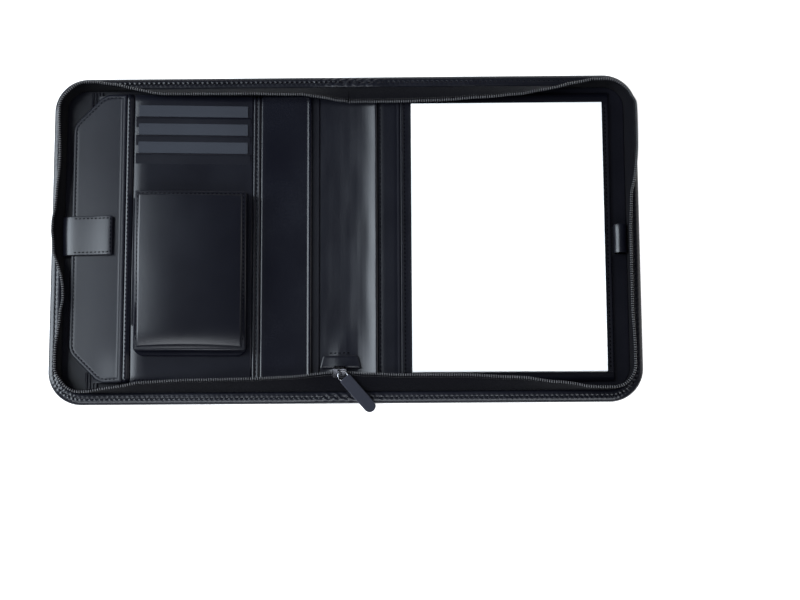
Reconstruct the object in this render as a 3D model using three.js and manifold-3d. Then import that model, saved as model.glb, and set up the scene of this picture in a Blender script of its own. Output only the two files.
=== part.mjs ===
// A leather document case that zips round three sides, lying open and flat on a table.
// Lengths are millimetres. +X runs across the open case to the pad, +Y up the page, +Z off the table.
// The origin is on the table under the middle of the case.
import * as THREE from "three";
import { mergeVertices } from "three/addons/utils/BufferGeometryUtils.js";
import Module from "manifold-3d";

const wasm = await Module();
wasm.setup();

// Gap between pieces that touch
const clearance = 0.3;

// Outer cover and the turned strip round its edge
const cornerRadius = 26;
const coverThickness = 2.6;
const bindingWidth = 9;
const bindingThickness = 1.4;
const bindingWrap = 1.2;
const bindingFoot = 0.6;
const puckerHeight = 0.9;
const puckerSpan = 58;
const puckerCount = 7;
const bindingCornerSteps = 6;

// Flat inner leather
const liningThickness = 1.2;

// Zip
const tapeWidth = 15.2;
const tapeThickness = 0.8;
const tapeKnee = 2;
const tapeBow = 0.7;
const chainWidth = 2.6;
const chainThickness = 2.2;
const chainShoulder = 0.7;
const zipStep = 9;
const zipCornerSteps = 6;
const zipTopX = 3;
const sliderX = -3.6;
const sliderLength = 11;
const sliderWidth = 8.4;
const sliderPlate = 0.9;
const sliderPlay = 0.5;
const sliderNose = 0.8;
const sliderFillet = 2;
const sliderNoseFillet = 1;
const postLength = 6.6;
const postInset = 0.2;
const postFillet = 0.4;
const bailReach = 1.9;
const bailHeight = 3.4;
const bailForward = 0.6;
const wireRadius = 0.6;
const wireSegments = 3;
const wireSteps = 14;
const ringRadius = 3.6;
const ringLift = 1.7;
const ringPlay = 0.35;
const ringSides = 8;
const ringSteps = 28;
const pullStart = 5.6;
const pullLength = 34;
const pullWidth = 9.3;
const pullThickness = 2.7;
const pullFillet = 1.5;
const pullEndRound = 0.95;
const pullRound = 0.4;
const pullTurn = -48;
const pullDroop = 20;
const endTabWidth = 27;
const endTabFlare = 2.5;
const endTabLength = 10;
const endTabThickness = 1.2;
const endTabFillet = 1.5;
const endTabOverlap = 1;
const thinRound = 0.3;

// Spine leather
const spineWidth = 44.6;
const spineOffset = 2.8;
const spineThickness = 1.4;
const spineRise = 3.2;
const spineEndGap = 4.5;
const spineMiddleRise = 0.5;

// Left side: file pocket with its front made of three panels, and the plain panel by the spine
const pocketOpening = 8;
const pocketEdgeDrop = 2.8;
const pocketSideMargin = 6.1;
const pocketEndMargin = 6;
const panelThickness = 1.8;
const panelRound = 0.5;
const edgePanelWidth = 41.5;
const edgePanelChamfer = 24;
const edgePanelFillet = 12;
const weltWidth = 4.8;
const weltHeight = 2.4;
const innerWeltWidth = 5.6;
const innerWeltHeight = 2.6;
const innerPanelWidth = 39.5;
const innerPanelThickness = 2;
const innerPanelGap = 6.2;
const innerPanelFillet = 2.5;
const innerPanelRound = 0.6;
const gussetThickness = 0.8;
const gussetDepth = 6;
const gussetStart = 19;
const gussetEnd = 112;
const gussetSteps = 6;

// Closure tab of the file pocket
const closureWidth = 30.5;
const closureReach = 33;
const closureThickness = 2.4;
const closureLift = 4.6;
const closureY = 0.9;

// Card slots
const slotCount = 3;
const slotWidth = 88;
const slotPitch = 14.5;
const slotFromTop = 18;
const slotLip = 0.9;
const slotLipRun = 8;
const slotLiningWidth = 84;
const slotLiningShown = 9;
const slotLiningThickness = 0.5;
const slotLiningFillet = 0.6;
const slotSideMargin = 1.85;

// Phone pocket
const phoneGap = 32;
const phoneWidth = 84;
const phoneHeight = 123;
const phoneDepth = 9;
const phoneFrontThickness = 1.6;
const phoneCrown = 1.6;
const phoneFlare = 1.9;
const phoneFlareBottom = 4;
const phoneBottomMargin = 19.4;
const phoneCorner = 5;
const phoneWall = 1.1;
const phoneOverhang = 1;
const phoneCornerSteps = 5;
const phoneCrownRows = 9;
const phoneCrownLeast = 0.35;
const phoneCrownFrom = 0.12;
const phoneCrownTo = 0.92;
const backingThickness = 0.8;
const backingHeight = 99;
const backingDrop = 3.5;
const backingSide = 0.5;

// Right side: hinge strip, pad panel, pad, side strip and pen loop
const hingeStripWidth = 17.3;
const hingeStripThickness = 1.4;
const hingeStripFillet = 2;
const hingeStripRound = 0.4;
const padPanelThickness = 1.5;
const padPanelBead = 0.8;
const padPanelBeadWidth = 1.7;
const padPanelEndMargin = 8;
const padMargin = 8.4;
const padWidth = 148;
const padHeight = 210;
const padThickness = 5;
const padDrop = 0.8;
const sideStripWidth = 4.6;
const sideStripThickness = 1.1;
const sideStripMargin = 0.5;
const sideStripFillet = 1.5;
const penBore = 8.8;
const penWall = 1;
const penLoopLength = 22;
const penLoopY = -4;
const penLoopGap = 1.1;
const penLoopCurve = 10;

// Heights of the layers, from the table up
const liningZ = coverThickness + clearance;
const layerZ = liningZ + liningThickness + clearance;
const pocketZ = layerZ + clearance;

// The card column sets the height of the file pocket, and the taller side sets the case
const cardPanelWidth = Math.max(slotWidth, phoneWidth + 2 * phoneFlare) + 2 * slotSideMargin;
const cardColumn = slotFromTop + (slotCount - 1) * slotPitch + phoneGap + phoneHeight;
const pocketHeight = cardColumn + phoneFlareBottom + phoneBottomMargin;
const padPanelHeight = padHeight + 2 * padPanelEndMargin;
const footInset = bindingWidth + clearance;
const liningInset = footInset + tapeThickness + clearance;
const contentHeight = Math.max(pocketHeight, padPanelHeight);
const caseHeight = contentHeight + 2 * (pocketEndMargin + footInset);

// Places across the case, from the spine outwards
const spineLeft = spineOffset - spineWidth / 2;
const spineRight = spineOffset + spineWidth / 2;
const innerPanelRight = spineLeft - innerPanelGap;
const innerPanelLeft = innerPanelRight - innerPanelWidth;
const innerWeltRight = innerPanelLeft - clearance;
const innerWeltLeft = innerWeltRight - innerWeltWidth;
const cardRight = innerWeltLeft - clearance;
const cardLeft = cardRight - cardPanelWidth;
const weltRight = cardLeft - clearance;
const weltLeft = weltRight - weltWidth;
const edgePanelRight = weltLeft - clearance;
const edgePanelLeft = edgePanelRight - edgePanelWidth;
const hingeLeft = spineRight + clearance;
const padPanelLeft = hingeLeft + hingeStripWidth + clearance;
const padLeft = padPanelLeft + padMargin;
const sideStripLeft = padLeft + padWidth + clearance;
const padPanelRight = sideStripLeft + sideStripWidth + sideStripMargin;
const penLoopWidth = penBore + 2 * penWall;
const penLoopLeft = padPanelRight + penLoopGap;
const leftReach = pocketSideMargin + liningInset - edgePanelLeft;
const rightReach = penLoopLeft + penLoopWidth + liningInset;
const halfWidth = Math.max(leftReach, rightReach);
const halfHeight = caseHeight / 2;
const pocketTop = pocketHeight / 2;

// Lean of each zip tape. Along counts the stretches of its route: the first straight runs from 0
// to 1, a corner to 2, the side to 3, a corner to 4 and the last straight to 5. Lean is the share
// of the tape's width that it leans inwards, or outwards where it is negative.
const leftTapeWaves = [
  { along: 0.0, lean: 0.88 },
  { along: 0.05, lean: 0.84 },
  { along: 0.11, lean: 0.68 },
  { along: 0.18, lean: 0.57 },
  { along: 0.41, lean: 0.52 },
  { along: 0.71, lean: 0.5 },
  { along: 0.79, lean: 0.3 },
  { along: 0.87, lean: 0.02 },
  { along: 0.96, lean: -0.18 },
  { along: 1.5, lean: -0.05 },
  { along: 2.02, lean: -0.19 },
  { along: 2.2, lean: -0.08 },
  { along: 2.36, lean: -0.24 },
  { along: 2.46, lean: -0.46 },
  { along: 2.56, lean: -0.32 },
  { along: 2.65, lean: 0.14 },
  { along: 2.72, lean: 0.28 },
  { along: 2.81, lean: 0.11 },
  { along: 2.94, lean: -0.1 },
  { along: 3.4, lean: 0.04 },
  { along: 4.03, lean: -0.08 },
  { along: 4.13, lean: 0.14 },
  { along: 4.25, lean: 0.41 },
  { along: 4.42, lean: 0.52 },
  { along: 4.65, lean: 0.56 },
  { along: 4.82, lean: 0.66 },
  { along: 4.92, lean: 0.82 },
  { along: 4.96, lean: 0.89 },
  { along: 5.0, lean: 0.89 },
];
const rightTapeWaves = [
  { along: 0.0, lean: 0.89 },
  { along: 0.04, lean: 0.89 },
  { along: 0.11, lean: 0.82 },
  { along: 0.23, lean: 0.73 },
  { along: 0.44, lean: 0.71 },
  { along: 0.65, lean: 0.56 },
  { along: 0.82, lean: 0.26 },
  { along: 0.94, lean: 0.0 },
  { along: 1.5, lean: -0.08 },
  { along: 2.06, lean: -0.14 },
  { along: 2.23, lean: -0.05 },
  { along: 2.5, lean: -0.06 },
  { along: 2.64, lean: -0.14 },
  { along: 2.7, lean: -0.33 },
  { along: 2.77, lean: -0.5 },
  { along: 2.85, lean: -0.57 },
  { along: 2.95, lean: -0.58 },
  { along: 3.25, lean: -0.3 },
  { along: 3.6, lean: -0.16 },
  { along: 4.04, lean: -0.11 },
  { along: 4.13, lean: 0.13 },
  { along: 4.22, lean: 0.41 },
  { along: 4.34, lean: 0.64 },
  { along: 4.46, lean: 0.75 },
  { along: 4.64, lean: 0.86 },
  { along: 4.82, lean: 0.9 },
  { along: 5.0, lean: 0.9 },
];

// Shape of the spine leather: across is a share of its width, rise a share of its own rise.
const spineWaves = [
  { across: 0.0, rise: 0.0 },
  { across: 0.14, rise: 0.2 },
  { across: 0.34, rise: 0.46 },
  { across: 0.52, rise: 0.38 },
  { across: 0.7, rise: 0.34 },
  { across: 0.84, rise: 0.8 },
  { across: 0.92, rise: 1.0 },
  { across: 0.98, rise: 0.62 },
  { across: 1.0, rise: 0.08 },
];

// Half of the slider's bail, its knee and its shoulder: out is a share of its reach, up of its height.
const bailShape = [
  { out: 1, up: 0.45 },
  { out: 0.75, up: 0.85 },
];

// Sections of the two welts and of a slot's lip, and the pad panel's bead: across is a share of the
// width or run, rise a share of the height.
const seamWeltSection = [
  { across: 0, rise: 0 },
  { across: 1, rise: 0 },
  { across: 1, rise: 0.55 },
  { across: 0.75, rise: 0.7 },
  { across: 0.5, rise: 1 },
  { across: 0.25, rise: 1 },
  { across: 0, rise: 0.75 },
];
const innerWeltSection = [
  { across: 0, rise: 0 },
  { across: 1, rise: 0 },
  { across: 1, rise: 0.7 },
  { across: 0.88, rise: 1 },
  { across: 0.7, rise: 1 },
  { across: 0.6, rise: 0.6 },
  { across: 0.4, rise: 0.6 },
  { across: 0.3, rise: 1 },
  { across: 0.12, rise: 1 },
  { across: 0, rise: 0.7 },
];
const lipSection = [
  { across: 0, rise: -1 },
  { across: 0, rise: 1 },
  { across: 0.33, rise: 0.9 },
  { across: 1, rise: -1 },
];
const beadSection = [
  { across: 1.4, rise: 0 },
  { across: 1, rise: 1 },
  { across: 0.3, rise: 1 },
  { across: 0, rise: 0 },
];

// The closure tab's way round the pocket's edge: out is a share of its bend, and up of the height
// from the lining to the pocket's front, lifted by a share of the bend.
const closureBend = [
  { out: -0.3, up: 0, lift: 0 },
  { out: -0.55, up: 0.5, lift: 0 },
  { out: -0.4, up: 1, lift: -0.55 },
  { out: 0.25, up: 1, lift: 0.1 },
  { out: 1, up: 1, lift: 0.2 },
];
const closureRest = 0.6;
const closureTipLift = 0.4;

// The phone pocket's folded wall: out is a share of its flare, up of its depth.
const bellowsFold = [
  { out: 1, up: 0.3 },
  { out: 0.35, up: 0.62 },
];
const frontSides = [-1, -0.94, -0.75, -0.4, 0, 0.4, 0.75, 0.94, 1];

// Finishes
const finishes = {
  leather: { color: 0x17191f, roughness: 0.42, metalness: 0 },
  lining: { color: 0x14151b, roughness: 0.55, metalness: 0 },
  tape: { color: 0x101116, roughness: 0.85, metalness: 0 },
  teeth: { color: 0x2a2c33, roughness: 0.4, metalness: 0.2 },
  metal: { color: 0x4a4c50, roughness: 0.3, metalness: 0.9 },
  wire: { color: 0xb9bcc0, roughness: 0.25, metalness: 1 },
  pull: { color: 0x383b48, roughness: 0.6, metalness: 0 },
  grey: { color: 0x4a4d5a, roughness: 0.6, metalness: 0 },
  paper: { color: 0xf6f6f4, roughness: 0.85, metalness: 0 },
};

function piece(name, finish, geometry) {
  const mesh = new THREE.Mesh(geometry, new THREE.MeshStandardMaterial(finishes[finish]));
  mesh.name = name;
  return mesh;
}

// Joining and cutting of closed meshes
function solidOf(geometry) {
  const bare = geometry.index ? geometry.toNonIndexed() : geometry.clone();
  bare.deleteAttribute("normal");
  bare.deleteAttribute("uv");
  const merged = mergeVertices(bare, 1e-4);
  return new wasm.Manifold(
    new wasm.Mesh({
      numProp: 3,
      vertProperties: merged.attributes.position.array,
      triVerts: new Uint32Array(merged.index.array),
    }),
  );
}

function geometryOf(solid) {
  const mesh = solid.getMesh();
  const geometry = new THREE.BufferGeometry();
  geometry.setAttribute("position", new THREE.BufferAttribute(new Float32Array(mesh.vertProperties), 3));
  geometry.setIndex(new THREE.BufferAttribute(new Uint32Array(mesh.triVerts), 1));
  return geometry;
}

function joined(...geometries) {
  return geometryOf(geometries.map(solidOf).reduce((whole, next) => whole.add(next)));
}

function cut(geometry, tool) {
  return geometryOf(solidOf(geometry).subtract(solidOf(tool)));
}

// Value of a column between the rows of a table, eased so that no row leaves a kink
function between(table, key, column, at) {
  const after = table.findIndex((row) => row[key] >= at);
  if (after <= 0) return after === 0 ? table[0][column] : table[table.length - 1][column];
  const a = table[after - 1];
  const b = table[after];
  const share = (at - a[key]) / (b[key] - a[key]);
  const eased = (1 - Math.cos(Math.PI * share)) / 2;
  return a[column] + (b[column] - a[column]) * eased;
}

// Outline of a strip of even thickness whose middle runs through the given points
function ribbon(middle, thickness) {
  const right = [];
  const left = [];
  middle.forEach((point, i) => {
    const before = middle[Math.max(i - 1, 0)];
    const after = middle[Math.min(i + 1, middle.length - 1)];
    const along = after.clone().sub(before).normalize();
    const side = new THREE.Vector2(-along.y, along.x).multiplyScalar(thickness / 2);
    right.push(point.clone().sub(side));
    left.unshift(point.clone().add(side));
  });
  return [...right, ...left];
}

// Closed skin through sections of equal point count; a ring joins its last section to its first
function loft(sections, place, isRing) {
  const count = sections[0].length;
  const positions = sections.flatMap((section, i) => section.flatMap((point) => place(point, i).toArray()));
  const index = [];
  const spans = isRing ? sections.length : sections.length - 1;
  for (let i = 0; i < spans; i++) {
    const next = (i + 1) % sections.length;
    for (let j = 0; j < count; j++) {
      const k = (j + 1) % count;
      index.push(i * count + j, i * count + k, next * count + k);
      index.push(i * count + j, next * count + k, next * count + j);
    }
  }
  if (!isRing) {
    const last = sections.length - 1;
    for (const [a, b, c] of endFaces(sections[0])) index.push(a, c, b);
    for (const face of endFaces(sections[last])) index.push(...face.map((v) => last * count + v));
  }
  const geometry = new THREE.BufferGeometry();
  geometry.setAttribute("position", new THREE.Float32BufferAttribute(positions, 3));
  geometry.setIndex(index);
  return geometry;
}

// Triangles that close a section, all turning anticlockwise
function endFaces(section) {
  return THREE.ShapeUtils.triangulateShape(section, []).map(([a, b, c]) => {
    const turn = THREE.ShapeUtils.area([section[a], section[b], section[c]]);
    return turn > 0 ? [a, b, c] : [a, c, b];
  });
}

// An outline in X and Z drawn out along Y, or in Y and Z drawn out along X
function drawnAlongY(outline, from, to) {
  const extrusion = { depth: to - from, bevelEnabled: false };
  const geometry = new THREE.ExtrudeGeometry(new THREE.Shape(outline), extrusion);
  const turn = new THREE.Matrix4().makeBasis(
    new THREE.Vector3(1, 0, 0),
    new THREE.Vector3(0, 0, 1),
    new THREE.Vector3(0, -1, 0),
  );
  return geometry.applyMatrix4(turn).translate(0, to, 0);
}

function drawnAlongX(outline, from, to) {
  const extrusion = { depth: to - from, bevelEnabled: false };
  const geometry = new THREE.ExtrudeGeometry(new THREE.Shape(outline), extrusion);
  const turn = new THREE.Matrix4().makeBasis(
    new THREE.Vector3(0, 1, 0),
    new THREE.Vector3(0, 0, 1),
    new THREE.Vector3(1, 0, 0),
  );
  return geometry.applyMatrix4(turn).translate(from, 0, 0);
}

// Flat outline whose corners each have their own fillet, as round as a quarter circle
const roundness = 0.5523;

function filleted(corners) {
  const shape = new THREE.Shape();
  corners.forEach(({ x, y, fillet }, i) => {
    const corner = new THREE.Vector2(x, y);
    const before = corners[(i + corners.length - 1) % corners.length];
    const after = corners[(i + 1) % corners.length];
    const back = new THREE.Vector2(before.x - x, before.y - y).setLength(fillet).add(corner);
    const ahead = new THREE.Vector2(after.x - x, after.y - y).setLength(fillet).add(corner);
    if (i) shape.lineTo(back.x, back.y);
    else shape.moveTo(back.x, back.y);
    if (!fillet) return;
    const near = back.clone().lerp(corner, roundness);
    const far = ahead.clone().lerp(corner, roundness);
    shape.bezierCurveTo(near.x, near.y, far.x, far.y, ahead.x, ahead.y);
  });
  shape.closePath();
  return shape;
}

function rectangle(left, right, bottom, top, fillet) {
  return filleted([
    { x: left, y: bottom, fillet },
    { x: right, y: bottom, fillet },
    { x: right, y: top, fillet },
    { x: left, y: top, fillet },
  ]);
}

// Leather panel of an outline, with its upper and lower edges rounded
function panel(shape, thickness, z, round) {
  return new THREE.ExtrudeGeometry(shape, {
    depth: thickness - 2 * round,
    bevelThickness: round,
    bevelSize: round,
    bevelOffset: -round,
    bevelSegments: 1,
    curveSegments: 5,
  }).translate(0, 0, z + round);
}

function plainSheet(shape, thickness, z) {
  return new THREE.ExtrudeGeometry(shape, {
    depth: thickness,
    bevelEnabled: false,
    curveSegments: 6,
  }).translate(0, 0, z);
}

// Raises what lies on the front of the file pocket, which climbs like a wedge from its inner edge to
// the seam welt, and falls a little from there to its open edge
function pocketLift(x) {
  const climb = THREE.MathUtils.clamp((cardRight - x) / (cardRight - weltLeft), 0, 1);
  const fall = THREE.MathUtils.clamp((weltLeft - x) / (weltLeft - edgePanelLeft), 0, 1);
  return pocketOpening * climb - pocketEdgeDrop * fall;
}

// Points of a section drawn as shares of a width and a height
function sectionPoints(section, width, height) {
  return section.map(({ across, rise }) => new THREE.Vector2(across * width, rise * height));
}

function lifted(geometry) {
  const at = geometry.attributes.position;
  for (let i = 0; i < at.count; i++) at.setZ(i, at.getZ(i) + pocketLift(at.getX(i)));
  return geometry;
}

// Half of the case's outline at an inset from its edge, anticlockwise: the left half runs from the
// top of the spine to its foot, the right half back up
function corner(centreX, centreY, radius, quarter) {
  const turn = (quarter * Math.PI) / 2;
  return new THREE.EllipseCurve(centreX, centreY, radius, radius, turn, turn + Math.PI / 2, false);
}

function straight(x1, y1, x2, y2) {
  return new THREE.LineCurve(new THREE.Vector2(x1, y1), new THREE.Vector2(x2, y2));
}

function leftHalf(inset, topX, bottomX) {
  const w = halfWidth - inset;
  const h = halfHeight - inset;
  const r = cornerRadius - inset;
  return [
    straight(topX, h, r - w, h),
    corner(r - w, h - r, r, 1),
    straight(-w, h - r, -w, r - h),
    corner(r - w, r - h, r, 2),
    straight(r - w, -h, bottomX, -h),
  ];
}

function rightHalf(inset, bottomX, topX) {
  const w = halfWidth - inset;
  const h = halfHeight - inset;
  const r = cornerRadius - inset;
  return [
    straight(bottomX, -h, w - r, -h),
    corner(w - r, r - h, r, 3),
    straight(w, r - h, w, h - r),
    corner(w - r, h - r, r, 0),
    straight(w - r, h, topX, h),
  ];
}

// Stations along a chain of curves, each with the way inwards and its place counted in stretches
function stationsAlong(curves, step, cornerSteps) {
  return curves.flatMap((curve, stretch) => {
    const steps = curve.isLineCurve ? Math.ceil(curve.getLength() / step) : cornerSteps;
    const first = stretch ? 1 : 0;
    return Array.from({ length: steps + 1 - first }, (_, i) => {
      const share = (i + first) / steps;
      const at = curve.getPointAt(share);
      const along = curve.getTangentAt(share);
      return { x: at.x, y: at.y, inX: -along.y, inY: along.x, along: stretch + share };
    });
  });
}

function swept(stations, sectionAt, isRing) {
  const place = (point, i) => {
    const { x, y, inX, inY } = stations[i];
    return new THREE.Vector3(x + inX * point.x, y + inY * point.x, point.y);
  };
  return loft(stations.map(sectionAt), place, isRing);
}

// Round wire along a path
function wire(path, radius, steps) {
  const section = new THREE.Shape().absarc(0, 0, radius, 0, 2 * Math.PI, false);
  const extrusion = { steps, curveSegments: wireSegments, bevelEnabled: false, extrudePath: path };
  return new THREE.ExtrudeGeometry(section, extrusion);
}

// Outer cover
function outerCover() {
  const inset = bindingWrap + clearance;
  const shape = new THREE.Shape();
  for (const curve of [...leftHalf(inset, 0, 0), ...rightHalf(inset, 0, 0)]) shape.add(curve);
  return plainSheet(shape, coverThickness, 0);
}

// Edge strip: folded over the rim of the cover, with small puckers where the spine bends
function pucker(x) {
  const share = (x - spineOffset) / puckerSpan + 0.5;
  if (share <= 0 || share >= 1) return 0;
  const folds = Math.abs(Math.sin(Math.PI * puckerCount * share));
  return puckerHeight * folds * Math.sin(Math.PI * share);
}

function bindingSection({ x }) {
  const under = coverThickness + clearance;
  const top = under + bindingThickness;
  const rise = pucker(x);
  return [
    [0, bindingFoot],
    [bindingWrap, bindingFoot],
    [bindingWrap, under],
    [bindingWidth, under],
    [bindingWidth, top - bindingThickness / 3],
    [bindingWidth - bindingThickness / 2, top + rise / 2],
    [bindingWidth / 2, top + rise],
    [bindingThickness, top + rise / 2],
    [0, top - bindingThickness],
  ].map(([across, up]) => new THREE.Vector2(across, up));
}

function edgeBinding() {
  const puckerStep = puckerSpan / puckerCount / 2;
  const from = spineOffset - puckerSpan / 2;
  const to = spineOffset + puckerSpan / 2;
  const fine = (y, x1, x2) => stationsAlong([straight(x1, y, x2, y)], puckerStep, 1);
  const coarse = (curves) => stationsAlong(curves, halfWidth, bindingCornerSteps);
  const ring = [
    ...fine(halfHeight, to, from),
    ...coarse(leftHalf(0, from, from)).slice(1),
    ...fine(-halfHeight, from, to).slice(1),
    ...coarse(rightHalf(0, to, to)).slice(1, -1),
  ];
  return swept(ring, bindingSection, true);
}

// Linings
function sideLining(outer, inner) {
  const side = Math.sign(outer);
  const h = halfHeight - liningInset;
  const fillet = cornerRadius - liningInset;
  const corners = [
    { x: inner, y: -h, fillet: 0 },
    { x: outer, y: -h, fillet },
    { x: outer, y: h, fillet },
    { x: inner, y: h, fillet: 0 },
  ];
  return plainSheet(filleted(side > 0 ? corners : corners.reverse()), liningThickness, liningZ);
}

function spineLining() {
  const low = liningZ + spineThickness / 2;
  const inside = spineThickness / 2;
  const middle = spineWaves.map(
    ({ across, rise }) =>
      new THREE.Vector2(
        spineLeft + inside + across * (spineWidth - 2 * inside),
        low + rise * spineRise,
      ),
  );
  const end = halfHeight - liningInset - spineEndGap;
  return drawnAlongY(ribbon(middle, spineThickness), -end, end);
}

// Zip tape and chain: a tape stands on its foot, then leans by the share that its table gives
const tapeFootZ = coverThickness + clearance + tapeThickness / 2;
const chainPlace = tapeWidth + clearance + chainWidth / 2;

function alongTape(lean, distance) {
  const beyond = distance - tapeKnee;
  const up = Math.sqrt(1 - lean * lean);
  return new THREE.Vector2(tapeThickness / 2 + lean * beyond, tapeFootZ + tapeKnee + up * beyond);
}

function tapeSection(lean) {
  const foot = new THREE.Vector2(tapeThickness / 2, tapeFootZ);
  const knee = new THREE.Vector2(tapeThickness / 2, tapeFootZ + tapeKnee);
  const halfway = alongTape(lean, (tapeKnee + tapeWidth) / 2);
  halfway.x -= tapeBow * lean;
  halfway.y += tapeBow * Math.abs(lean);
  return ribbon([foot, knee, halfway, alongTape(lean, tapeWidth)], tapeThickness);
}

function chainSection(lean) {
  const near = alongTape(lean, chainPlace - chainWidth / 2);
  const far = alongTape(lean, chainPlace + chainWidth / 2);
  const along = far.clone().sub(near).normalize();
  const side = new THREE.Vector2(-along.y, along.x).multiplyScalar(chainThickness / 2);
  const tip = near.clone().lerp(far, chainShoulder);
  return [
    near.clone().sub(side),
    tip.clone().sub(side),
    far.clone(),
    tip.clone().add(side),
    near.clone().add(side),
  ];
}

function zipHalf(curves, waves, section) {
  const stations = stationsAlong(curves, zipStep, zipCornerSteps);
  return swept(stations, ({ along }) => section(between(waves, "along", "lean", along)), false);
}

const leftZipRoute = leftHalf(footInset, zipTopX - clearance / 2, sliderX - clearance / 2);
const rightZipRoute = rightHalf(footInset, sliderX + clearance / 2, zipTopX + clearance / 2);

// Slider: two plates round the chain, tilted with the tape, joined by a post, with a bail on top
const sliderLean = leftTapeWaves[leftTapeWaves.length - 1].lean;
const sliderTilt = Math.acos(sliderLean);
const sliderMiddle = alongTape(sliderLean, chainPlace);
const sliderY = footInset - halfHeight + sliderMiddle.x;
const sliderZ = sliderMiddle.y;
const sliderGap = chainThickness / 2 + sliderPlay;
const sliderTop = sliderGap + sliderPlate;
const postInner = chainWidth / 2 + sliderPlay;
const pullTurnAngle = THREE.MathUtils.degToRad(pullTurn);
const pullDroopAngle = THREE.MathUtils.degToRad(pullDroop);

function onSlider(geometry) {
  return geometry.rotateX(sliderTilt).translate(sliderX, sliderY, sliderZ);
}

const bailFoot = new THREE.Vector3(0, bailForward, sliderTop)
  .applyAxisAngle(new THREE.Vector3(1, 0, 0), sliderTilt)
  .add(new THREE.Vector3(sliderX, sliderY, sliderZ));

// Arch of wire that stands on the sloping top plate, one foot higher than the other
function bail() {
  const slope = Math.sin(pullTurnAngle) * Math.tan(sliderTilt);
  const leg = (side) => new THREE.Vector3(side * bailReach, 0, side * bailReach * slope - sliderPlate / 2);
  const half = (side) =>
    bailShape.map(({ out, up }) => new THREE.Vector3(side * out * bailReach, 0, up * bailHeight));
  const top = new THREE.Vector3(0, 0, bailHeight);
  const arch = new THREE.CatmullRomCurve3([leg(-1), ...half(-1), top, ...half(1).reverse(), leg(1)]);
  return wire(arch, wireRadius, wireSteps).rotateZ(pullTurnAngle).translate(...bailFoot.toArray());
}

function zipSlider() {
  const half = sliderLength / 2;
  const wide = sliderWidth / 2;
  const plate = filleted([
    { x: -half, y: -wide * sliderNose, fillet: sliderNoseFillet },
    { x: half, y: -wide * sliderNose, fillet: sliderNoseFillet },
    { x: half, y: wide, fillet: sliderFillet },
    { x: -half, y: wide, fillet: sliderFillet },
  ]);
  const top = onSlider(plainSheet(plate, sliderPlate, sliderGap));
  const bottom = onSlider(plainSheet(plate, sliderPlate, -sliderTop));
  const postShape = rectangle(-postLength / 2, postLength / 2, postInner, wide - postInset, postFillet);
  const post = onSlider(plainSheet(postShape, 2 * sliderTop - sliderPlate, sliderPlate / 2 - sliderTop));
  return joined(top, bottom, post, bail());
}

// Ring through the bail, and the flat pull that is folded round the ring and droops from it
const ringPlace = new THREE.Matrix4()
  .makeTranslation(bailFoot.x, bailFoot.y, bailFoot.z + ringLift)
  .multiply(new THREE.Matrix4().makeRotationZ(pullTurnAngle));
const pullPlace = ringPlace
  .clone()
  .multiply(new THREE.Matrix4().makeTranslation(pullStart, 0, 0))
  .multiply(new THREE.Matrix4().makeRotationY(pullDroopAngle));

function ringAt(radius) {
  return new THREE.TorusGeometry(ringRadius, radius, ringSides, ringSteps)
    .translate(ringRadius, 0, 0)
    .applyMatrix4(ringPlace);
}

function pullTab() {
  const wide = pullWidth / 2;
  const outline = filleted([
    { x: 0, y: -wide, fillet: pullFillet },
    { x: pullLength, y: -wide, fillet: wide * pullEndRound },
    { x: pullLength, y: wide, fillet: wide * pullEndRound },
    { x: 0, y: wide, fillet: pullFillet },
  ]);
  const strap = panel(outline, pullThickness, -pullThickness / 2, pullRound).applyMatrix4(pullPlace);
  return cut(strap, ringAt(wireRadius + ringPlay));
}

// Folded tab over the ends of the zip, on the spine leather
const spineTop = liningZ + spineThickness + spineRise * spineMiddleRise;

function zipEndTab() {
  const y = sliderY + sliderWidth / 2 - endTabOverlap;
  const x = sliderX + clearance;
  const half = endTabWidth / 2;
  const outline = filleted([
    { x: x - half - endTabFlare, y, fillet: endTabFillet },
    { x: x + half + endTabFlare, y, fillet: endTabFillet },
    { x: x + half, y: y + endTabLength, fillet: endTabFillet },
    { x: x - half, y: y + endTabLength, fillet: endTabFillet },
  ]);
  return panel(outline, endTabThickness, spineTop + clearance, thinRound);
}

// Front of the file pocket
function edgePanel() {
  const l = edgePanelLeft;
  const r = edgePanelRight;
  const h = pocketTop;
  const c = edgePanelChamfer;
  const f = edgePanelFillet;
  return filleted([
    { x: r, y: -h, fillet: 0 },
    { x: r, y: h, fillet: 0 },
    { x: l + c, y: h, fillet: f },
    { x: l, y: h - c, fillet: f },
    { x: l, y: c - h, fillet: f },
    { x: l + c, y: -h, fillet: f },
  ]);
}

function seamWelt() {
  const outline = sectionPoints(seamWeltSection, weltWidth, weltHeight);
  return lifted(drawnAlongY(outline, -pocketTop, pocketTop).translate(weltLeft, 0, pocketZ));
}

const cardMiddle = (cardLeft + cardRight) / 2;

function lipY(i) {
  return pocketTop - slotFromTop - i * slotPitch;
}

function cardPanel() {
  const shape = rectangle(cardLeft, cardRight, -pocketTop, pocketTop, 0);
  const base = panel(shape, panelThickness, pocketZ, thinRound);
  const top = pocketZ + panelThickness;
  const from = cardMiddle - slotWidth / 2;
  const lips = Array.from({ length: slotCount }, (_, i) => {
    const outline = sectionPoints(lipSection, -slotLipRun, slotLip);
    return drawnAlongX(outline, from, from + slotWidth).translate(0, lipY(i), top);
  });
  return lifted(joined(base, ...lips));
}

function slotLining(i) {
  const half = slotLiningWidth / 2;
  const bottom = lipY(i) + clearance;
  const top = bottom + slotLiningShown;
  const shape = rectangle(cardMiddle - half, cardMiddle + half, bottom, top, slotLiningFillet);
  return lifted(plainSheet(shape, slotLiningThickness, pocketZ + panelThickness + clearance));
}

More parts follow.
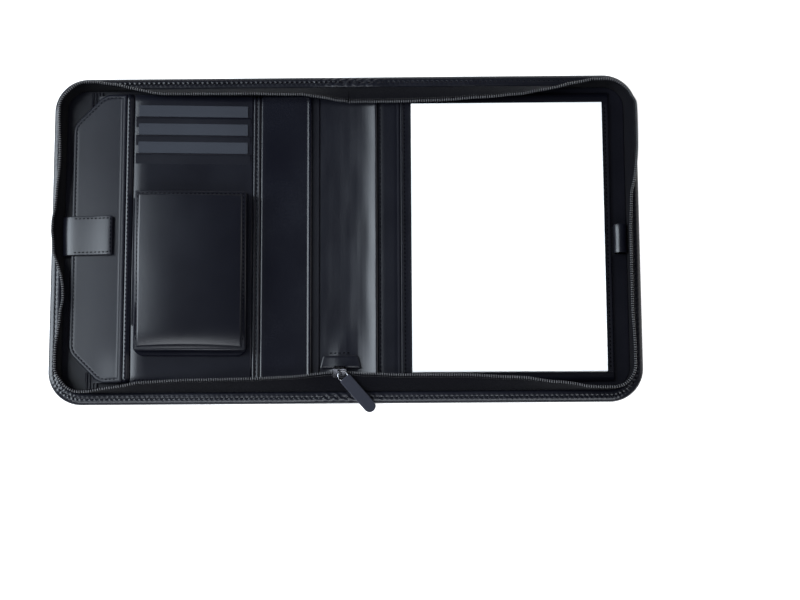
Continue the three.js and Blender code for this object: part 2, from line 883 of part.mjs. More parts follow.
// Phone pocket: a backing, a bellows wall round three sides and a crowned front
const phoneTop = lipY(slotCount - 1) - phoneGap;
const phoneBottom = phoneTop - phoneHeight;
const phoneFlareZ = pocketZ + panelThickness + clearance;
const phoneBaseZ = phoneFlareZ + backingThickness + clearance;
const phoneFrontZ = phoneBaseZ + phoneDepth;

function phoneBacking() {
  const top = phoneTop - backingDrop;
  const shape = rectangle(cardLeft + backingSide, cardRight - backingSide, top - backingHeight, top, 0);
  return lifted(plainSheet(shape, backingThickness, phoneFlareZ));
}

function phoneGusset() {
  const w = phoneWidth / 2 - phoneOverhang;
  const bottom = phoneBottom + phoneOverhang;
  const r = phoneCorner;
  const route = [
    straight(-w, phoneTop, -w, bottom + r),
    corner(-w + r, bottom + r, r, 2),
    straight(-w + r, bottom, w - r, bottom),
    corner(w - r, bottom + r, r, 3),
    straight(w, bottom + r, w, phoneTop),
  ];
  const bellows = ({ along }) => {
    const atFoot = THREE.MathUtils.clamp(Math.min(along - 1, 4 - along), 0, 1);
    const flare = phoneFlare + (phoneFlareBottom - phoneFlare) * atFoot;
    const middle = [
      new THREE.Vector2(-flare + phoneWall, phoneBaseZ + phoneWall / 2),
      ...bellowsFold.map(({ out, up }) => new THREE.Vector2(-flare * out, phoneBaseZ + phoneDepth * up)),
      new THREE.Vector2(0, phoneFrontZ - clearance - phoneWall / 2),
    ];
    return ribbon(middle, phoneWall);
  };
  const stations = stationsAlong(route, phoneHeight, phoneCornerSteps);
  return lifted(swept(stations, bellows, false).translate(cardMiddle, 0, 0));
}

// The front is crowned like padded leather, and its crown fades at both ends
function phoneFront() {
  const rows = phoneCrownRows;
  const sections = Array.from({ length: rows + 1 }, (_, i) => {
    const swell = Math.sin(Math.PI * THREE.MathUtils.lerp(phoneCrownFrom, phoneCrownTo, i / rows));
    const crown = phoneCrown * THREE.MathUtils.lerp(phoneCrownLeast, 1, swell);
    const across = frontSides.map((side) => {
      const z = phoneFrontZ + phoneFrontThickness / 2 + crown * (1 - side ** 4);
      return new THREE.Vector2(cardMiddle + (side * phoneWidth) / 2, z);
    });
    return ribbon(across, phoneFrontThickness);
  });
  const place = (point, i) => new THREE.Vector3(point.x, phoneTop - (i / rows) * phoneHeight, point.y);
  return lifted(loft(sections, place, false));
}

// Pleated sides of the file pocket: one fold inwards, high at the left and low by the card panel
function pocketGusset(side) {
  const from = edgePanelLeft + gussetStart;
  const to = edgePanelLeft + gussetEnd;
  const xs = Array.from({ length: gussetSteps + 1 }, (_, i) => from + ((to - from) * i) / gussetSteps);
  const sections = xs.map((x) => {
    const low = layerZ + gussetThickness / 2;
    const high = pocketZ + pocketLift(x) - clearance - gussetThickness / 2;
    const outer = pocketTop - gussetThickness;
    const middle = [
      new THREE.Vector2(outer * side, low),
      new THREE.Vector2((outer - gussetDepth) * side, (low + high) / 2),
      new THREE.Vector2(outer * side, high),
    ];
    return ribbon(side > 0 ? middle : middle.reverse(), gussetThickness);
  });
  return loft(sections, (point, i) => new THREE.Vector3(xs[i], point.x, point.y), false);
}

// Closure tab: from the lining up round the pocket's edge and over its front
function closureTab() {
  const t = closureThickness;
  const left = edgePanelLeft - clearance - t / 2;
  const top = pocketZ + pocketLift(edgePanelLeft) + panelThickness + clearance + t / 2;
  const low = layerZ + t / 2;
  const over = edgePanelLeft + closureReach;
  const slope = pocketLift(over) - pocketLift(edgePanelLeft);
  const rest = edgePanelLeft + closureReach * closureRest;
  const middle = [
    ...closureBend.map(
      ({ out, up, lift }) =>
        new THREE.Vector2(left + closureLift * out, low + (top - low) * up + closureLift * lift),
    ),
    new THREE.Vector2(rest, top + slope * closureRest),
    new THREE.Vector2(over, top + slope + closureTipLift),
  ];
  const half = closureWidth / 2;
  return drawnAlongY(ribbon(middle, t), closureY - half, closureY + half);
}

// Twin ridges between the card panel and the plain panel
function innerWelt() {
  const outline = sectionPoints(innerWeltSection, innerWeltWidth, innerWeltHeight);
  return drawnAlongY(outline, -pocketTop, pocketTop).translate(innerWeltLeft, 0, layerZ);
}

function innerPanel() {
  const shape = rectangle(innerPanelLeft, innerPanelRight, -pocketTop, pocketTop, innerPanelFillet);
  return panel(shape, innerPanelThickness, layerZ, innerPanelRound);
}

// Right side
const rightTop = padPanelHeight / 2;

function hingeStrip() {
  const hingeRight = hingeLeft + hingeStripWidth;
  const shape = rectangle(hingeLeft, hingeRight, -rightTop, rightTop, hingeStripFillet);
  return panel(shape, hingeStripThickness, layerZ, hingeStripRound);
}

function padPanel() {
  const width = padPanelRight - padPanelLeft;
  const bead = sectionPoints(beadSection, padPanelBeadWidth, padPanelBead);
  const outline = [
    new THREE.Vector2(0, -padPanelThickness),
    new THREE.Vector2(width, -padPanelThickness),
    new THREE.Vector2(width, -thinRound),
    new THREE.Vector2(width - thinRound, 0),
    ...bead,
  ];
  const top = layerZ + padPanelThickness;
  return drawnAlongY(outline, -rightTop, rightTop).translate(padPanelLeft, 0, top);
}

const padZ = layerZ + padPanelThickness + clearance;
const padBottom = -padHeight / 2 - padDrop;

function writingPad() {
  const shape = rectangle(padLeft, padLeft + padWidth, padBottom, padBottom + padHeight, 0);
  return plainSheet(shape, padThickness, padZ);
}

function padSideStrip() {
  const shape = rectangle(
    sideStripLeft,
    sideStripLeft + sideStripWidth,
    padBottom,
    padBottom + padHeight,
    sideStripFillet,
  );
  return panel(shape, sideStripThickness, padZ, thinRound);
}

function penLoop() {
  const radius = penLoopWidth / 2;
  const x = penLoopLeft + radius;
  const ring = new THREE.Shape().absarc(x, layerZ + radius, radius, 0, 2 * Math.PI, false);
  ring.holes.push(new THREE.Path().absarc(x, layerZ + radius, penBore / 2, 0, 2 * Math.PI, true));
  const turn = new THREE.Matrix4().makeBasis(
    new THREE.Vector3(1, 0, 0),
    new THREE.Vector3(0, 0, 1),
    new THREE.Vector3(0, -1, 0),
  );
  const settings = { depth: penLoopLength, bevelEnabled: false, curveSegments: penLoopCurve };
  const tube = new THREE.ExtrudeGeometry(ring, settings)
    .applyMatrix4(turn)
    .translate(0, penLoopY + penLoopLength / 2, 0);
  const half = penLoopLength / 2;
  const footOutline = rectangle(x - radius, x + radius, penLoopY - half, penLoopY + half, 0);
  const foot = plainSheet(footOutline, penWall, layerZ);
  return joined(tube, foot);
}

// The whole case
const documentCase = new THREE.Group();

const covers = new THREE.Group();
covers.add(
  piece("outer_cover", "leather", outerCover()),
  piece("edge_binding", "leather", edgeBinding()),
  piece("lining_left", "lining", sideLining(liningInset - halfWidth, spineLeft - clearance)),
  piece("lining_right", "lining", sideLining(halfWidth - liningInset, spineRight + clearance)),
  piece("spine_lining", "leather", spineLining()),
);

const zip = new THREE.Group();
zip.add(
  piece("zip_tape_left", "tape", zipHalf(leftZipRoute, leftTapeWaves, tapeSection)),
  piece("zip_tape_right", "tape", zipHalf(rightZipRoute, rightTapeWaves, tapeSection)),
  piece("zip_chain_left", "teeth", zipHalf(leftZipRoute, leftTapeWaves, chainSection)),
  piece("zip_chain_right", "teeth", zipHalf(rightZipRoute, rightTapeWaves, chainSection)),
  piece("zip_slider", "metal", zipSlider()),
  piece("pull_ring", "wire", ringAt(wireRadius)),
  piece("pull_tab", "pull", pullTab()),
  piece("zip_end_tab", "leather", zipEndTab()),
);

const leftSide = new THREE.Group();
leftSide.add(
  piece("pocket_gusset_top", "lining", pocketGusset(1)),
  piece("pocket_gusset_bottom", "lining", pocketGusset(-1)),
  piece("pocket_edge_panel", "leather", lifted(panel(edgePanel(), panelThickness, pocketZ, panelRound))),
  piece("closure_tab", "leather", closureTab()),
  piece("seam_welt", "leather", seamWelt()),
  piece("card_panel", "leather", cardPanel()),
  piece("phone_pocket_backing", "leather", phoneBacking()),
  piece("phone_pocket_gusset", "lining", phoneGusset()),
  piece("phone_pocket_front", "leather", phoneFront()),
  piece("inner_welt", "leather", innerWelt()),
  piece("inner_panel", "lining", innerPanel()),
);
for (let i = 0; i < slotCount; i++) leftSide.add(piece(`card_slot_lining_${i + 1}`, "grey", slotLining(i)));

const rightSide = new THREE.Group();
rightSide.add(
  piece("hinge_strip", "leather", hingeStrip()),
  piece("pad_panel", "lining", padPanel()),
  piece("writing_pad", "paper", writingPad()),
  piece("pad_side_strip", "leather", padSideStrip()),
  piece("pen_loop", "leather", penLoop()),
);

documentCase.add(covers, zip, leftSide, rightSide);

export default documentCase;
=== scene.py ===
# %% [markdown]
# A black leather document case lies open and flat on a table, about 454 mm wide. On its left side
# sits a file pocket with three card slots and a raised phone pocket, on its right side an A5 pad.
# A zip runs round it on standing tapes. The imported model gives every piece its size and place,
# and this script gives each one its fine shape, its stitches and its finish.

# %% Load the frame
import math

import bmesh
import bpy
import numpy as np
from mathutils import Matrix, Vector, noise
from mathutils.bvhtree import BVHTree


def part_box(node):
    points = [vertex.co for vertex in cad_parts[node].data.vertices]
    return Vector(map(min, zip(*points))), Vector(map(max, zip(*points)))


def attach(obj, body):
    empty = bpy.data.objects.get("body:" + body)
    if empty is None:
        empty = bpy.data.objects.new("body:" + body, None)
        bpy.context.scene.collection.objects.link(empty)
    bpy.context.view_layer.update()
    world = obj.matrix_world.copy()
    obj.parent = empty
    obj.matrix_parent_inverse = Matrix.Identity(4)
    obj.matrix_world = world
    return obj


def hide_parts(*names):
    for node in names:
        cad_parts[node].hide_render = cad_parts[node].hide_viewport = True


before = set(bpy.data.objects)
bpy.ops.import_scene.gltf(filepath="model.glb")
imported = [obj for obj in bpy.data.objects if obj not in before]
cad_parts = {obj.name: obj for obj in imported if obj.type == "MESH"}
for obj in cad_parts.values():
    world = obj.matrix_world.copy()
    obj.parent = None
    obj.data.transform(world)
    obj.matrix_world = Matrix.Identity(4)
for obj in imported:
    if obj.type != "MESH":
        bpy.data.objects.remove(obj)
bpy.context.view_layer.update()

mm = 0.001
case_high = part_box("edge_binding")[1]
half_width, half_height = case_high.x, case_high.y
corner_radius = 26 * mm
gap = 0.3 * mm
print("case, mm:", [round(2000 * v) for v in (half_width, half_height)])

# %% [markdown]
# The picture looks down on the case from a little in front of it, tilted back. A pinhole camera was
# fitted to the pad's corners, taken as A5, and to the case's edges. The picture doesn't settle the
# focal length, so it is an assumed one for a long lens, and the camera's place goes with it. It is
# given in pixels of an image 800 wide, and becomes a lens in millimetres.

# %% Camera
image_width = 800
focal_pixels = 1799.65
camera_place = Vector((58.3, -272.3, 1365.4)) * mm
camera_tilt, camera_yaw, camera_roll = (math.radians(angle) for angle in (9.311, 0.669, -0.415))

camera_data = bpy.data.cameras.new("camera")
camera_data.sensor_width = 36
camera_data.lens = focal_pixels / image_width * camera_data.sensor_width
camera = bpy.data.objects.new("camera", camera_data)
turn = (
    Matrix.Rotation(camera_tilt, 4, "X")
    @ Matrix.Rotation(camera_yaw, 4, "Y")
    @ Matrix.Rotation(camera_roll, 4, "Z")
)
camera.matrix_world = Matrix.Translation(camera_place) @ turn
bpy.context.scene.collection.objects.link(camera)
bpy.context.scene.camera = camera
print("lens, mm:", round(camera_data.lens, 1))

# %% [markdown]
# Black leather shows its shape almost only by what it mirrors. One big soft light stands on the
# left, so that whatever leans to the left turns grey and whatever lies flat stays black. Weak
# lights from the front and the right draw thin lines on the other edges, and a bright table
# around the case turns the paper and the background white.

# %% Lights, table and surroundings
def soft_light(name, place, size, power, tint=(1, 1, 1), aim=(0, 0, 0)):
    data = bpy.data.lights.new(name, "AREA")
    data.shape = "RECTANGLE"
    data.size, data.size_y = size
    data.energy = power
    data.color = tint
    light = bpy.data.objects.new(name, data)
    light.location = place
    light.rotation_euler = (Vector(aim) - Vector(place)).to_track_quat("-Z", "Y").to_euler()
    bpy.context.scene.collection.objects.link(light)
    return light


soft_light("left_light", (-1.27, 0.1, 0.98), (0.9, 1.6), 42, tint=(0.82, 0.91, 1))
soft_light("front_light", (-0.1, -1.02, 1.2), (1.4, 0.5), 11, tint=(0.88, 0.93, 1))
soft_light("right_light", (1.5, 0.2, 0.55), (0.5, 1.2), 3)
soft_light("back_light", (0.1, 1.6, 0.55), (1.6, 0.4), 3)
fill = soft_light("overhead_fill", (0.1, 0, 1.9), (1.2, 1.2), 9)
fill.visible_glossy = False

table_size = 8
table_drop = 0.05 * mm
bm = bmesh.new()
bmesh.ops.create_grid(bm, x_segments=1, y_segments=1, size=table_size / 2)
bmesh.ops.translate(bm, verts=bm.verts, vec=(0, 0, -table_drop))
table_mesh = bpy.data.meshes.new("table")
bm.to_mesh(table_mesh)
bm.free()
table = bpy.data.objects.new("table", table_mesh)
bpy.context.scene.collection.objects.link(table)

table_paint = bpy.data.materials.new("white_table")
table_paint.use_nodes = True
paint = table_paint.node_tree.nodes["Principled BSDF"]
paint.inputs["Base Color"].default_value = (0.86, 0.86, 0.86, 1)
paint.inputs["Roughness"].default_value = 0.8
paint.inputs["Specular IOR Level"].default_value = 0.1
paint.inputs["Emission Color"].default_value = (1, 1, 1, 1)
paint.inputs["Emission Strength"].default_value = 0.75
table.data.materials.append(table_paint)

world = bpy.data.worlds.new("pale_room")
world.use_nodes = True
room = world.node_tree
seen = room.nodes.new("ShaderNodeBackground")
seen.inputs["Color"].default_value = (0.9, 0.9, 0.9, 1)
seen.inputs["Strength"].default_value = 1.0
dim = room.nodes.new("ShaderNodeBackground")
dim.inputs["Color"].default_value = (0.8, 0.86, 1, 1)
dim.inputs["Strength"].default_value = 0.04
rays = room.nodes.new("ShaderNodeLightPath")
choice = room.nodes.new("ShaderNodeMixShader")
room.links.new(rays.outputs["Is Camera Ray"], choice.inputs["Fac"])
room.links.new(dim.outputs[0], choice.inputs[1])
room.links.new(seen.outputs[0], choice.inputs[2])
room.links.new(choice.outputs[0], room.nodes["World Output"].inputs["Surface"])
bpy.context.scene.world = world
bpy.context.scene.view_settings.view_transform = "Standard"

# %% [markdown]
# A finish is a small graph of shader nodes. Writing each node, its settings and its inputs in one
# call keeps a material as short as a sentence. What several finishes share, the leather's grain
# and the lighter rolled edge, part scuffing and part painted highlight, is a node group with named
# sockets, built once.

# %% Helpers for shader nodes
def node(tree, kind, inputs=None, **settings):
    made = tree.nodes.new(kind)
    for key, value in settings.items():
        setattr(made, key, value)
    for key, value in (inputs or {}).items():
        if isinstance(value, bpy.types.NodeSocket):
            tree.links.new(value, made.inputs[key])
        else:
            made.inputs[key].default_value = value
    return made


def maths(tree, operation, a, b=0.0):
    return node(tree, "ShaderNodeMath", {0: a, 1: b}, operation=operation).outputs[0]


def noise_at(tree, place, scale, detail=3.0, output="Fac"):
    settings = {"Vector": place, "Scale": scale, "Detail": detail}
    return node(tree, "ShaderNodeTexNoise", settings).outputs[output]


def ranged(tree, value, low, high, to_low, to_high):
    limits = {0: value, 1: low, 2: high, 3: to_low, 4: to_high}
    return node(tree, "ShaderNodeMapRange", limits).outputs[0]


def blended(tree, share, first, second):
    mix = node(tree, "ShaderNodeMix", data_type="RGBA")
    for socket, value in zip((mix.inputs[0], mix.inputs[6], mix.inputs[7]), (share, first, second)):
        if isinstance(value, bpy.types.NodeSocket):
            tree.links.new(value, socket)
        else:
            socket.default_value = value
    return mix.outputs[2]


def new_group(name, inputs, outputs):
    group = bpy.data.node_groups.new(name, "ShaderNodeTree")
    for label, kind, value in inputs:
        socket = group.interface.new_socket(name=label, in_out="INPUT", socket_type=kind)
        if value is not None:
            socket.default_value = value
    for label, kind in outputs:
        group.interface.new_socket(name=label, in_out="OUTPUT", socket_type=kind)
    return group, group.nodes.new("NodeGroupInput"), group.nodes.new("NodeGroupOutput")


def use_group(tree, group, inputs):
    made = node(tree, "ShaderNodeGroup", node_tree=group)
    for key, value in inputs.items():
        if isinstance(value, bpy.types.NodeSocket):
            tree.links.new(value, made.inputs[key])
        else:
            made.inputs[key].default_value = value
    return made


def material(name):
    made = bpy.data.materials.new(name)
    made.use_nodes = True
    return made, made.node_tree, made.node_tree.nodes["Principled BSDF"]


def bump(tree, shader, height, depth, strength):
    raised = node(tree, "ShaderNodeBump", {"Height": height, "Distance": depth, "Strength": strength})
    tree.links.new(raised.outputs[0], shader.inputs["Normal"])


# %% [markdown]
# Smooth cow leather has a fine pebble grain, cells under a millimetre with shallow creases between
# them, and over that a slow change of gloss and tone where it was stretched or handled. Voronoi
# cells give the pebbles, two noises give the pores and the slow change.

# %% Grain of the leather
grain, grain_in, grain_out = new_group(
    "leather_grain",
    [("Vector", "NodeSocketVector", None), ("Cells", "NodeSocketFloat", 1100.0),
     ("Stretch", "NodeSocketFloat", 22.0)],
    [("Height", "NodeSocketFloat"), ("Tone", "NodeSocketFloat"), ("Pores", "NodeSocketFloat")],
)
place = grain_in.outputs["Vector"]
bend = noise_at(grain, place, 600.0, 2.0, "Color")
shifted = node(grain, "ShaderNodeMixRGB", {0: 0.0006, 1: place, 2: bend}, blend_type="ADD")
cells = node(
    grain,
    "ShaderNodeTexVoronoi",
    {"Vector": shifted.outputs[0], "Scale": grain_in.outputs["Cells"]},
    feature="DISTANCE_TO_EDGE",
)
pebble = ranged(grain, cells.outputs["Distance"], 0.0, 0.35, 0.0, 1.0)
pores = noise_at(grain, place, 2600.0)
slow = noise_at(grain, place, grain_in.outputs["Stretch"], 4.0)
pebble_part = maths(grain, "MULTIPLY", pebble, 0.7)
pore_part = maths(grain, "MULTIPLY", pores, 0.3)
grain.links.new(maths(grain, "ADD", pebble_part, pore_part), grain_out.inputs["Height"])
grain.links.new(ranged(grain, slow, 0.3, 0.7, 0.0, 1.0), grain_out.inputs["Tone"])
grain.links.new(pores, grain_out.inputs["Pores"])
print("nodes of the grain:", len(grain.nodes))

# %% [markdown]
# Where leather is turned over an edge the dye thins first with use, and the surface gets a little
# lighter and smoother. The lighter colour here also paints the thin highlight that a rolled edge
# catches, so the band is part scuffing and part painted highlight. Every panel stores how near
# each vertex is to its rolled edge, and this group breaks that band up with noise, so that the
# lightening comes and goes along the edge.

# %% Scuffing and painted highlight along rolled edges
scuff_and_highlight, scuff_and_highlight_in, scuff_and_highlight_out = new_group(
    "edge_scuff_and_highlight",
    [("Vector", "NodeSocketVector", None), ("Amount", "NodeSocketFloat", 0.5)],
    [("Mask", "NodeSocketFloat")],
)
rim = node(scuff_and_highlight, "ShaderNodeAttribute", attribute_name="rim")
broken = ranged(scuff_and_highlight, noise_at(scuff_and_highlight, scuff_and_highlight_in.outputs["Vector"], 160.0), 0.35, 0.65, 0.25, 1.0)
scuffed_lit_share = maths(scuff_and_highlight, "MULTIPLY", rim.outputs["Fac"], broken)
mask = maths(scuff_and_highlight, "MULTIPLY", scuffed_lit_share, scuff_and_highlight_in.outputs["Amount"])
scuff_and_highlight.links.new(mask, scuff_and_highlight_out.inputs["Mask"])
print("nodes of the wear:", len(scuff_and_highlight.nodes))

# %% [markdown]
# One function makes all the leathers of the case. They differ in tone, in gloss and in how coarse
# the grain is: the outside and the pocket fronts are smooth and fairly glossy, the linings thinner
# and duller, the edge strip a little lighter.

# %% Leathers
# The lighter black of rolled edges and its strength: part scuffing from use, part painted highlight.
scuff_highlight_amount, pore_gloss = 0.5, 0.08
scuffed_and_lit_black = (0.014, 0.015, 0.021, 1)


def leather(name, dark, light, gloss, cells=1100.0, depth=0.03 * mm, edge_scuff_highlight_colour=scuffed_and_lit_black, shine=0.5):
    made, tree, shader = material(name)
    place = node(tree, "ShaderNodeTexCoord").outputs["Object"]
    skin = use_group(tree, grain, {"Vector": place, "Cells": cells})
    edge_lightening = use_group(tree, scuff_and_highlight, {"Vector": place, "Amount": scuff_highlight_amount})
    tone = blended(tree, skin.outputs["Tone"], dark, light)
    # Along rolled edges the colour turns lighter: part scuffing from use, part painted highlight.
    colour = blended(tree, edge_lightening.outputs["Mask"], tone, edge_scuff_highlight_colour)
    tree.links.new(colour, shader.inputs["Base Color"])
    slow = ranged(tree, skin.outputs["Tone"], 0.0, 1.0, gloss[0], gloss[1])
    rough = maths(tree, "ADD", slow, maths(tree, "MULTIPLY", skin.outputs["Pores"], pore_gloss))
    tree.links.new(rough, shader.inputs["Roughness"])
    shader.inputs["Specular IOR Level"].default_value = shine
    bump(tree, shader, skin.outputs["Height"], depth, 0.5)
    return made


smooth_dark, smooth_light = (0.0028, 0.003, 0.0062, 1), (0.0042, 0.0047, 0.0088, 1)
front_leather = leather("smooth_front_leather", smooth_dark, smooth_light, (0.27, 0.31))
pocket_leather = leather("pocket_edge_leather", smooth_dark, smooth_light, (0.27, 0.31), shine=0.28)
plain_leather = leather("plain_panel_leather", smooth_dark, smooth_light, (0.2, 0.24), shine=0.4)
fine_depth = 0.02 * mm
# The wall of the phone pocket gets a duller copy of the front leather, which paints the shade under the
# pocket's front.
shaded_wall_leather = leather(
    "wall_leather_painted_shade", smooth_dark, smooth_light, (0.35, 0.4), 1500.0, fine_depth, shine=0.1
)
lining_leather = leather(
    "thin_lining_leather", (0.0026, 0.0027, 0.0052, 1), (0.0036, 0.0038, 0.007, 1), (0.3, 0.35),
    1500.0, fine_depth, shine=0.3,
)
edge_leather = leather(
    "turned_edge_leather", (0.0035, 0.0038, 0.007, 1), (0.0055, 0.006, 0.0105, 1), (0.24, 0.3),
    1300.0, 0.035 * mm,
)
cover_leather = leather(
    "cover_leather_finish", (0.003, 0.0033, 0.0065, 1), smooth_light, (0.24, 0.29), 1000.0
)
# The grey slot leather and the pull have their own lighter edge colours: part scuffing, part painted
# highlight.
slot_leather = leather(
    "grey_slot_leather", (0.030, 0.033, 0.042, 1), (0.034, 0.038, 0.048, 1), (0.5, 0.55),
    2200.0, fine_depth, edge_scuff_highlight_colour=(0.06, 0.064, 0.08, 1), shine=0.15,
)
pull_leather = leather(
    "matt_pull_leather", (0.023, 0.025, 0.036, 1), (0.027, 0.029, 0.041, 1), (0.55, 0.6),
    1900.0, fine_depth, edge_scuff_highlight_colour=(0.045, 0.048, 0.06, 1), shine=0.2,
)
print("leathers:", sum("leather" in made.name for made in bpy.data.materials))

# %% [markdown]
# Zip tape is woven in a fine herringbone, half a millimetre to a rib. The ribs have to follow the
# waving tape, so they are drawn on the piece's own UV map, whose units are metres along and
# across. Two wave textures that lean opposite ways, switched every few millimetres, weave it.

# %% Woven tape
woven_tape, tree, shader = material("woven_zip_tape")
uv = node(tree, "ShaderNodeUVMap", uv_map="along").outputs[0]
rib_scale, lane_width = 320.0, 0.8 * mm
ribs = []
for lean in (45, -45):
    turned = node(tree, "ShaderNodeMapping", {"Vector": uv, "Rotation": (0, 0, math.radians(lean))})
    rib = node(tree, "ShaderNodeTexWave", {"Vector": turned.outputs[0], "Scale": rib_scale})
    ribs.append(rib.outputs["Fac"])
across = node(tree, "ShaderNodeSeparateXYZ", {0: uv}).outputs["Y"]
lane = maths(tree, "PINGPONG", across, 2 * lane_width)
side = maths(tree, "GREATER_THAN", lane, lane_width)
weave = blended(tree, side, ribs[0], ribs[1])
fuzz = noise_at(tree, uv, 1800.0)
# The colour follows the ribs' bump, darker where they are low: painted shade between the ribs.
yarn_with_rib_shade = blended(tree, weave, (0.0018, 0.0018, 0.003, 1), (0.0042, 0.0042, 0.0062, 1))
tree.links.new(yarn_with_rib_shade, shader.inputs["Base Color"])
tree.links.new(ranged(tree, fuzz, 0.3, 0.7, 0.72, 0.9), shader.inputs["Roughness"])
shader.inputs["Sheen Weight"].default_value = 0.02
shader.inputs["Sheen Roughness"].default_value = 0.5
shader.inputs["Specular IOR Level"].default_value = 0.06
bump(tree, shader, weave, 0.12 * mm, 0.6)
print("nodes of the weave:", len(tree.nodes))

# %% [markdown]
# The smaller finishes: black sewing thread with its twist, the plastic coil of the zip, the dark
# plated slider, bright wire, and paper. Each has a slow change of tone and a fine bump of the size
# that the real one shows through a magnifier.

# %% Thread, coil, metals and paper
def simple(name, dark, light, gloss, scale, depth, metallic=0.0, shine=0.5):
    made, tree, shader = material(name)
    place = node(tree, "ShaderNodeTexCoord").outputs["Object"]
    fine = noise_at(tree, place, scale)
    slow = noise_at(tree, place, scale / 25, 2.0)
    tone = ranged(tree, slow, 0.3, 0.7, 0.0, 1.0)
    tree.links.new(blended(tree, tone, dark, light), shader.inputs["Base Color"])
    tree.links.new(ranged(tree, fine, 0.25, 0.75, gloss[0], gloss[1]), shader.inputs["Roughness"])
    shader.inputs["Metallic"].default_value = metallic
    shader.inputs["Specular IOR Level"].default_value = shine
    bump(tree, shader, fine, depth, 0.5)
    return made


thread = simple(
    "black_sewing_thread", (0.0018, 0.0018, 0.0028, 1), (0.0035, 0.0035, 0.005, 1), (0.55, 0.7),
    4000.0, 0.03 * mm, shine=0.05,
)
# The coil's grey is lighter than black nylon, so that the loops read as light dots: a painted glint.
coil = simple(
    "zip_coil", (0.065, 0.065, 0.07, 1), (0.1, 0.1, 0.105, 1), (0.16, 0.26), 900.0, 0.01 * mm
)
plated = simple(
    "dark_plated_metal", (0.05, 0.05, 0.055, 1), (0.09, 0.09, 0.1, 1), (0.2, 0.34),
    700.0, 0.01 * mm, metallic=1.0,
)
steel_wire = simple(
    "steel_wire", (0.3, 0.3, 0.32, 1), (0.4, 0.4, 0.42, 1), (0.18, 0.26), 900.0, 0.005 * mm, metallic=1.0
)
paper = simple(
    "uncoated_paper", (0.93, 0.93, 0.925, 1), (0.95, 0.95, 0.945, 1), (0.85, 0.95), 1400.0, 0.01 * mm
)
print("finishes:", len(bpy.data.materials))

# %% [markdown]
# Every piece ends the same way: its mesh becomes an object at the origin, rides on the one body,
# stands for its solid, and keeps a search tree of its surface, so that stitches can be laid on it.

# %% Finishing a piece
skins = {}


def make_piece(name, bm, finish, stands_for=(), sharp=None):
    bmesh.ops.recalc_face_normals(bm, faces=bm.faces)
    skins[name] = BVHTree.FromBMesh(bm)
    mesh = bpy.data.meshes.new(name)
    bm.to_mesh(mesh)
    bm.free()
    mesh.shade_smooth()
    if sharp:
        mesh.set_sharp_from_angle(angle=math.radians(sharp))
    piece = bpy.data.objects.new(name, mesh)
    bpy.context.scene.collection.objects.link(piece)
    piece.data.materials.append(finish)
    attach(piece, "root")
    if stands_for:
        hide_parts(*stands_for)
    print(f"{name}: {len(mesh.vertices)} vertices, {len(mesh.polygons)} faces")
    return piece


def skin_height(name, x, y):
    hit = skins[name].ray_cast(Vector((x, y, 0.1)), Vector((0, 0, -1)))[0]
    return hit.z if hit else 0.0


# %% [markdown]
# Most pieces are cut leather panels: a flat outline with rounded corners, an edge that is turned
# under, often a stitched groove a little inside it, and a face that is never quite flat. The
# outline starts as one face, vertex bevels round its corners, insets make the roll and the groove,
# and cuts through the inner face give it enough vertices to swell and wave.

# %% Outlines and insets
def new_verts(made):
    return [g for g in made if isinstance(g, bmesh.types.BMVert)]


def take_in(bm, part):
    """A part's mesh goes into a larger one, and the part is freed."""
    form = bpy.data.meshes.new("part_form")
    part.to_mesh(form)
    part.free()
    bm.from_mesh(form)
    bpy.data.meshes.remove(form)


def outline_face(bm, corners, z, segments=7):
    verts = [bm.verts.new((x, y, z)) for x, y, _ in corners]
    bm.faces.new(verts)
    for vert, (_, _, fillet) in zip(verts, corners):
        if fillet:
            bmesh.ops.bevel(
                bm, geom=[vert], offset=fillet, offset_type="OFFSET", affect="VERTICES",
                segments=segments, profile=0.5, material=-1,
            )
    bm.normal_update()


def cut_inner(bm, across, at):
    inner = inner_faces(bm)
    geom = inner + list({e for f in inner for e in f.edges}) + list({v for f in inner for v in f.verts})
    point, normal = (((at, 0, 0), (1, 0, 0)) if across else ((0, at, 0), (0, 1, 0)))
    bmesh.ops.bisect_plane(bm, geom=geom, dist=1e-6, plane_co=point, plane_no=normal)


def inset_face(bm, face, steps):
    for width, climb in steps:
        made = bmesh.ops.inset_region(
            bm, faces=face, thickness=width, depth=climb, use_boundary=True, use_even_offset=True
        )
        for rim_face in made["faces"]:
            rim_face.material_index = 0


def inner_faces(bm):
    return [f for f in bm.faces if f.material_index == 1]


def square_corners(bm, corners, inset, reach):
    """Small rounded corners become points, so that a wide inset doesn't turn them inside out."""
    for x, y, fillet in corners:
        if 0 < fillet < reach:
            verts = inner_faces(bm)[0].verts
            near = [v for v in verts if math.hypot(v.co.x - x, v.co.y - y) < 1.5 * (fillet + inset)]
            centre = sum((v.co for v in near), Vector()) / len(near)
            outwards = Vector((x, y, centre.z)) - centre
            corner = centre + outwards * max(0, 1 - 1.414 * inset / max(outwards.length, 1e-9))
            bmesh.ops.pointmerge(bm, verts=near, merge_co=corner)
    return inner_faces(bm)


# %% [markdown]
# A panel is made from these steps: roll, groove, cuts, and last a wall down from its rim and a flat
# underside. On a panel with large cells a narrow holding ring inside the groove keeps the
# groove's slope out of the smooth face.

